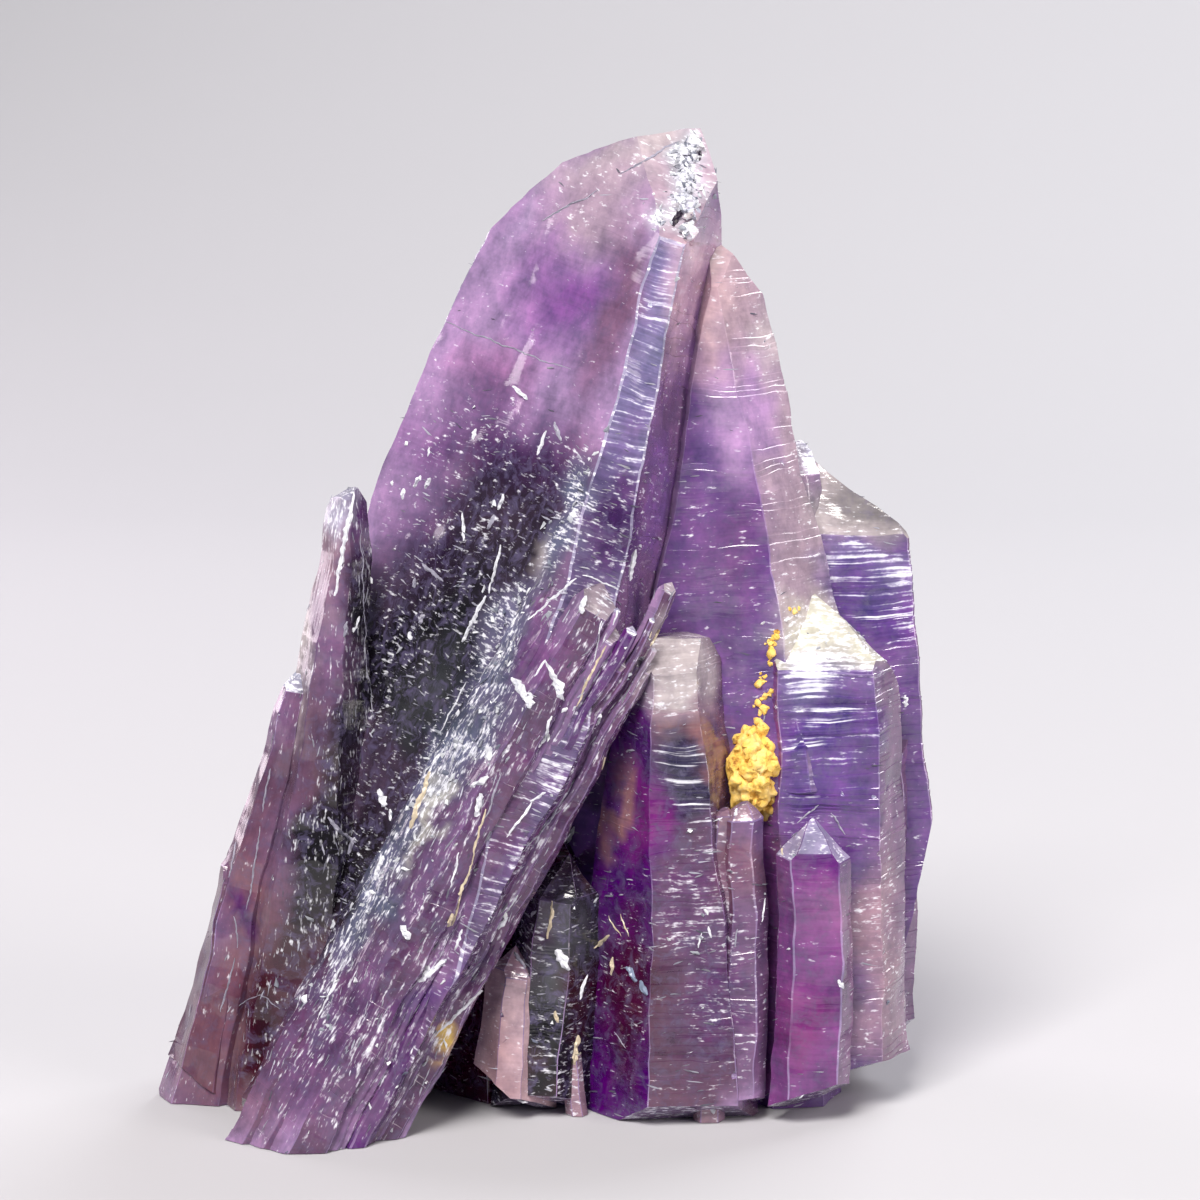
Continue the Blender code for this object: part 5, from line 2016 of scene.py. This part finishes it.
@dataclass
class OchreCrust:
    """The earthy crust in the cleft: lumps grown into each other, with crumbs up the cleft above.

    Attributes:
        outline: the crust's corners in the front view, right and up from its middle.
        count: how many lumps.
        sizes: the least and the largest radius.
        crumbs: the middle and the size of each crumb, in the same view.
        longest: edges longer than this are divided.
        pits: the sizes of the surface's pits and how deep they are.
        tip: where the core ends.
        slopes: the directions of the faces that meet there.
    """

    outline: tuple[Pair, ...] = (
        (8.0, -6.0), (8.7, -7.85), (8.85, -8.5), (8.7, -10.4), (8.4, -11.0), (7.75, -10.2), (6.85, -9.7),
        (6.55, -7.7), (7.3, -6.5),
    )
    count: int = 90
    sizes: Pair = (0.18, 0.46)
    crumbs: tuple[Spot, ...] = (
        (8.2, -5.5, 0.30), (7.9, -5.1, 0.20), (8.3, -4.8, 0.26), (8.0, -4.2, 0.28), (8.2, -3.8, 0.20),
        (8.6, -2.6, 0.26), (8.5, -2.1, 0.20), (8.8, -1.8, 0.18), (9.7, -0.6, 0.20), (8.5, -3.2, 0.16),
    )
    longest: float = 0.2
    pits: tuple[Pair, ...] = ((0.6, 0.09), (0.22, 0.06))
    tip: Spot = (10.5, 0.0, 19.6)
    slopes: tuple[Spot, ...] = ((-0.72, 0.0, 0.69), (0.9, 0.0, 0.44))
    seed: int = 23

    NAME = "ochre_rough_crust"
    POINTS = 14
    SHARP = 40.0
    BESIDE = 3  # smaller crumbs round each crumb
    APART = 0.25
    SMALLER = 0.6

    def spots(self, chance: random.Random) -> Iterator[Spot]:
        """Places the lumps, spread over the outline, and then the crumbs.

        Args:
            chance: where the random values come from.

        Returns:
            For each, how far right and up it is in the view, and its radius.
        """
        middle = Vector([sum(values) / len(self.outline) for values in zip(*self.outline)])
        for number in range(self.count):
            first = Vector(self.outline[number % len(self.outline)])
            second = Vector(self.outline[(number + 1) % len(self.outline)])
            edge = first.lerp(second, chance.random())
            spot = middle.lerp(edge, chance.random() ** 0.5)
            yield (*spot, chance.uniform(*self.sizes))
        for crumb in self.crumbs:
            yield crumb
            for _ in range(self.BESIDE):
                yield (*(value + chance.uniform(-self.APART, self.APART) for value in crumb[:2]),
                       crumb[2] * self.SMALLER)

    def core(self, solid: Object) -> Mesh:
        """Takes the thick lower part of the solid that fills the cleft.

        Args:
            solid: the crust as it came.

        Returns:
            The part as a closed mesh.
        """
        bm = bmesh.new()
        bm.from_mesh(solid.data)
        bmesh.ops.remove_doubles(bm, verts=bm.verts[:], dist=0.001 * MM)
        for slope in self.slopes:
            cut = bmesh.ops.bisect_plane(bm, geom=bm.verts[:] + bm.edges[:] + bm.faces[:], clear_outer=True,
                                         plane_co=[value * MM for value in self.tip], plane_no=slope)
            bmesh.ops.holes_fill(bm, edges=[part for part in cut["geom_cut"] if isinstance(part, BMEdge)])
        inner = bpy.data.meshes.new("core")
        bm.to_mesh(inner)
        bm.free()
        return inner

    def build(self, view: View, core: Mesh, finish: Material) -> Object:
        """Grows the lumps where the view shows them, round a plain core.

        Args:
            view: where the crust is seen from.
            core: what the lumps grow round.
            finish: the crust's material.

        Returns:
            The crust as one closed object.
        """
        chance = random.Random(self.seed)
        grown = [object_of(core)]
        for right, up, size in self.spots(chance):
            found = view.hit(right, up)
            if found:
                middle = found[0] / MM + MIDDLE
                grown.append(object_of(lump(middle, size, self.POINTS, Tint.YELLOW, chance).mesh("lump")))
        mesh = boolean(self.NAME, "UNION", None, grown)
        drop(grown)
        with opened(mesh) as bm:
            bmesh.ops.triangulate(bm, faces=bm.faces[:])
            for _ in range(3):
                halve(bm, long_edges(bm, self.longest))
            bm.normal_update()
            for corner in bm.verts:
                spot = corner.co / MM
                out = sum(noise.noise(spot / size) * far for size, far in self.pits)
                corner.co += corner.normal * out * MM
        keep_inside(mesh)
        mesh.shade_smooth()
        mesh.set_sharp_from_angle(angle=radians(self.SHARP))
        mesh.materials.clear()
        mesh.materials.append(finish)
        return object_of(mesh)


@dataclass(frozen=True)
class Softbox:
    """A rectangular soft light.

    Attributes:
        name: what it is called.
        place: where it stands, in metres.
        size: its width and height.
        power: in watts.
        colour: its light's.
    """

    name: str
    place: Spot
    size: Pair
    power: float
    colour: str


SOFTBOXES = (
    Softbox("key", (-0.10, -0.34, 0.40), (0.20, 0.20), 3.9, "fffaf4"),
    Softbox("fill", (0.42, -0.28, 0.20), (0.25, 0.40), 1.6, "fff6f0"),
    Softbox("rim", (0.22, 0.30, 0.34), (0.30, 0.20), 1.6, "ffffff"),
    Softbox("back_glow", (-0.25, 0.22, 0.12), (0.20, 0.20), 0.5, "fff0f8"),
)


@dataclass
class Studio:
    """The pale floor and backdrop, the soft lights and the camera.

    Attributes:
        target: what the camera looks at, in metres.
        distance: from the camera to the target.
        elevation: of the camera above the target.
        lens: its focal length in millimetres on a 36 mm sensor.
    """

    target: Vector = field(default_factory=lambda: Vector((0.00281, -0.00157, 0.0256)))
    distance: float = 0.200
    elevation: float = 8.0
    lens: float = 120.0

    HALF_WIDTH = 1.6
    FRONT = -1.2
    BEND = 0.25  # where the floor starts to bend up, and the bend's radius
    STEPS = 12
    TOP = (0.5, 1.6)
    BELOW = 0.00004  # the floor's gap below the base
    PAPER = "b9b9be"
    SKY = "b8bcc8"

    def eye(self) -> Vector:
        """Where the camera is."""
        rise = radians(self.elevation)
        return self.target + Vector((0.0, -cos(rise), sin(rise))) * self.distance

    def floor(self) -> Object:
        """Makes the pale sweep that the specimen stands on."""
        profile = [(self.FRONT, 0.0), (self.BEND, 0.0)]
        for step in range(1, self.STEPS + 1):
            angle = step / self.STEPS * pi / 2
            profile.append((self.BEND + self.BEND * sin(angle), self.BEND * (1.0 - cos(angle))))
        profile.append(self.TOP)
        mesh = bpy.data.meshes.new("studio_floor")
        with opened(mesh) as bm:
            rows = [[bm.verts.new((x, y, z - self.BELOW)) for x in (-self.HALF_WIDTH, self.HALF_WIDTH)]
                    for y, z in profile]
            for first, second in zip(rows, rows[1:]):
                bm.faces.new((*first, *reversed(second)))
        mesh.shade_smooth()
        # Paper gives an even, pale ground without a gleam.
        paper, tree, shader = new_material("matte_studio_paper")
        wire(tree, shader, {"Base Color": linear(self.PAPER), "Roughness": 0.9})
        mesh.materials.append(paper)
        return object_of(mesh)

    def aimed(self, name: str, data: Light | Camera, place: Vector) -> Object:
        """Puts a light or the camera in its place, facing the specimen.

        Args:
            name: what it is called.
            data: the light or the camera.
            place: where it goes.

        Returns:
            Its object.
        """
        made = bpy.data.objects.new(name, data)
        made.location = place
        made.rotation_euler = (self.target - place).to_track_quat("-Z", "Y").to_euler()
        bpy.context.scene.collection.objects.link(made)
        return made

    def light(self, box: Softbox) -> None:
        """Adds a soft light."""
        data = bpy.data.lights.new(box.name, "AREA")
        data.shape = "RECTANGLE"
        data.size, data.size_y = box.size
        data.energy = box.power
        data.color = linear(box.colour)[:3]
        self.aimed(box.name, data, Vector(box.place))

    def build(self) -> Object:
        """Builds the studio and returns its floor."""
        scene = bpy.context.scene
        scene.view_settings.view_transform = "Standard"
        scene.world = bpy.data.worlds.new("studio")
        scene.world.use_nodes = True
        tree = scene.world.node_tree
        wire(tree, tree.nodes["Background"], {"Color": linear(self.SKY), "Strength": 0.22})
        for box in SOFTBOXES:
            self.light(box)
        data = bpy.data.cameras.new("camera")
        data.lens = self.lens
        data.sensor_width = 36.0
        data.clip_start = 0.001
        scene.camera = self.aimed("camera", data, self.eye())
        return self.floor()


def attach(piece: Object, slot: str, *nodes: str) -> None:
    """Makes a piece ride with the specimen and stand for some nodes.

    Args:
        piece: the piece.
        slot: not used.
        nodes: the solids' nodes that it replaces.
    """
    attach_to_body(piece, BODY)
    if nodes:
        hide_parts(*nodes)
    log.info("%s: %d faces", piece.name, len(piece.data.polygons))


def main() -> None:
    """Builds the specimen and its studio."""
    noise.seed_set(NOISE_SEED)
    logging.basicConfig(level=logging.INFO, format="%(name)s: %(message)s")
    studio = Studio()
    studio.build()
    quartz = Cluster().build()
    quartz.data.materials.clear()
    quartz.data.materials.append(AmethystFinish().material())
    crust = OchreCrust()
    core = crust.core(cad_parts["ochre_crust"])
    frost = FrostFinish().material()
    for scatter in SCATTERS:
        attach(scatter.build(quartz.data, frost), "amethyst")
    view = View(studio, (quartz.data, core))
    attach(SeamsAndPaintedHighlights().build(view, frost), "amethyst")
    attach(crust.build(view, core, OchreFinish().material()), "ochre", "ochre_crust")
    for name in (Layer.FLOW, Layer.FLECKS, Layer.CRUMBS):
        quartz.data.attributes.remove(quartz.data.attributes[name.value])
    attach(quartz, "amethyst", "amethyst_cluster")


if __name__ == "__main__":
    main()
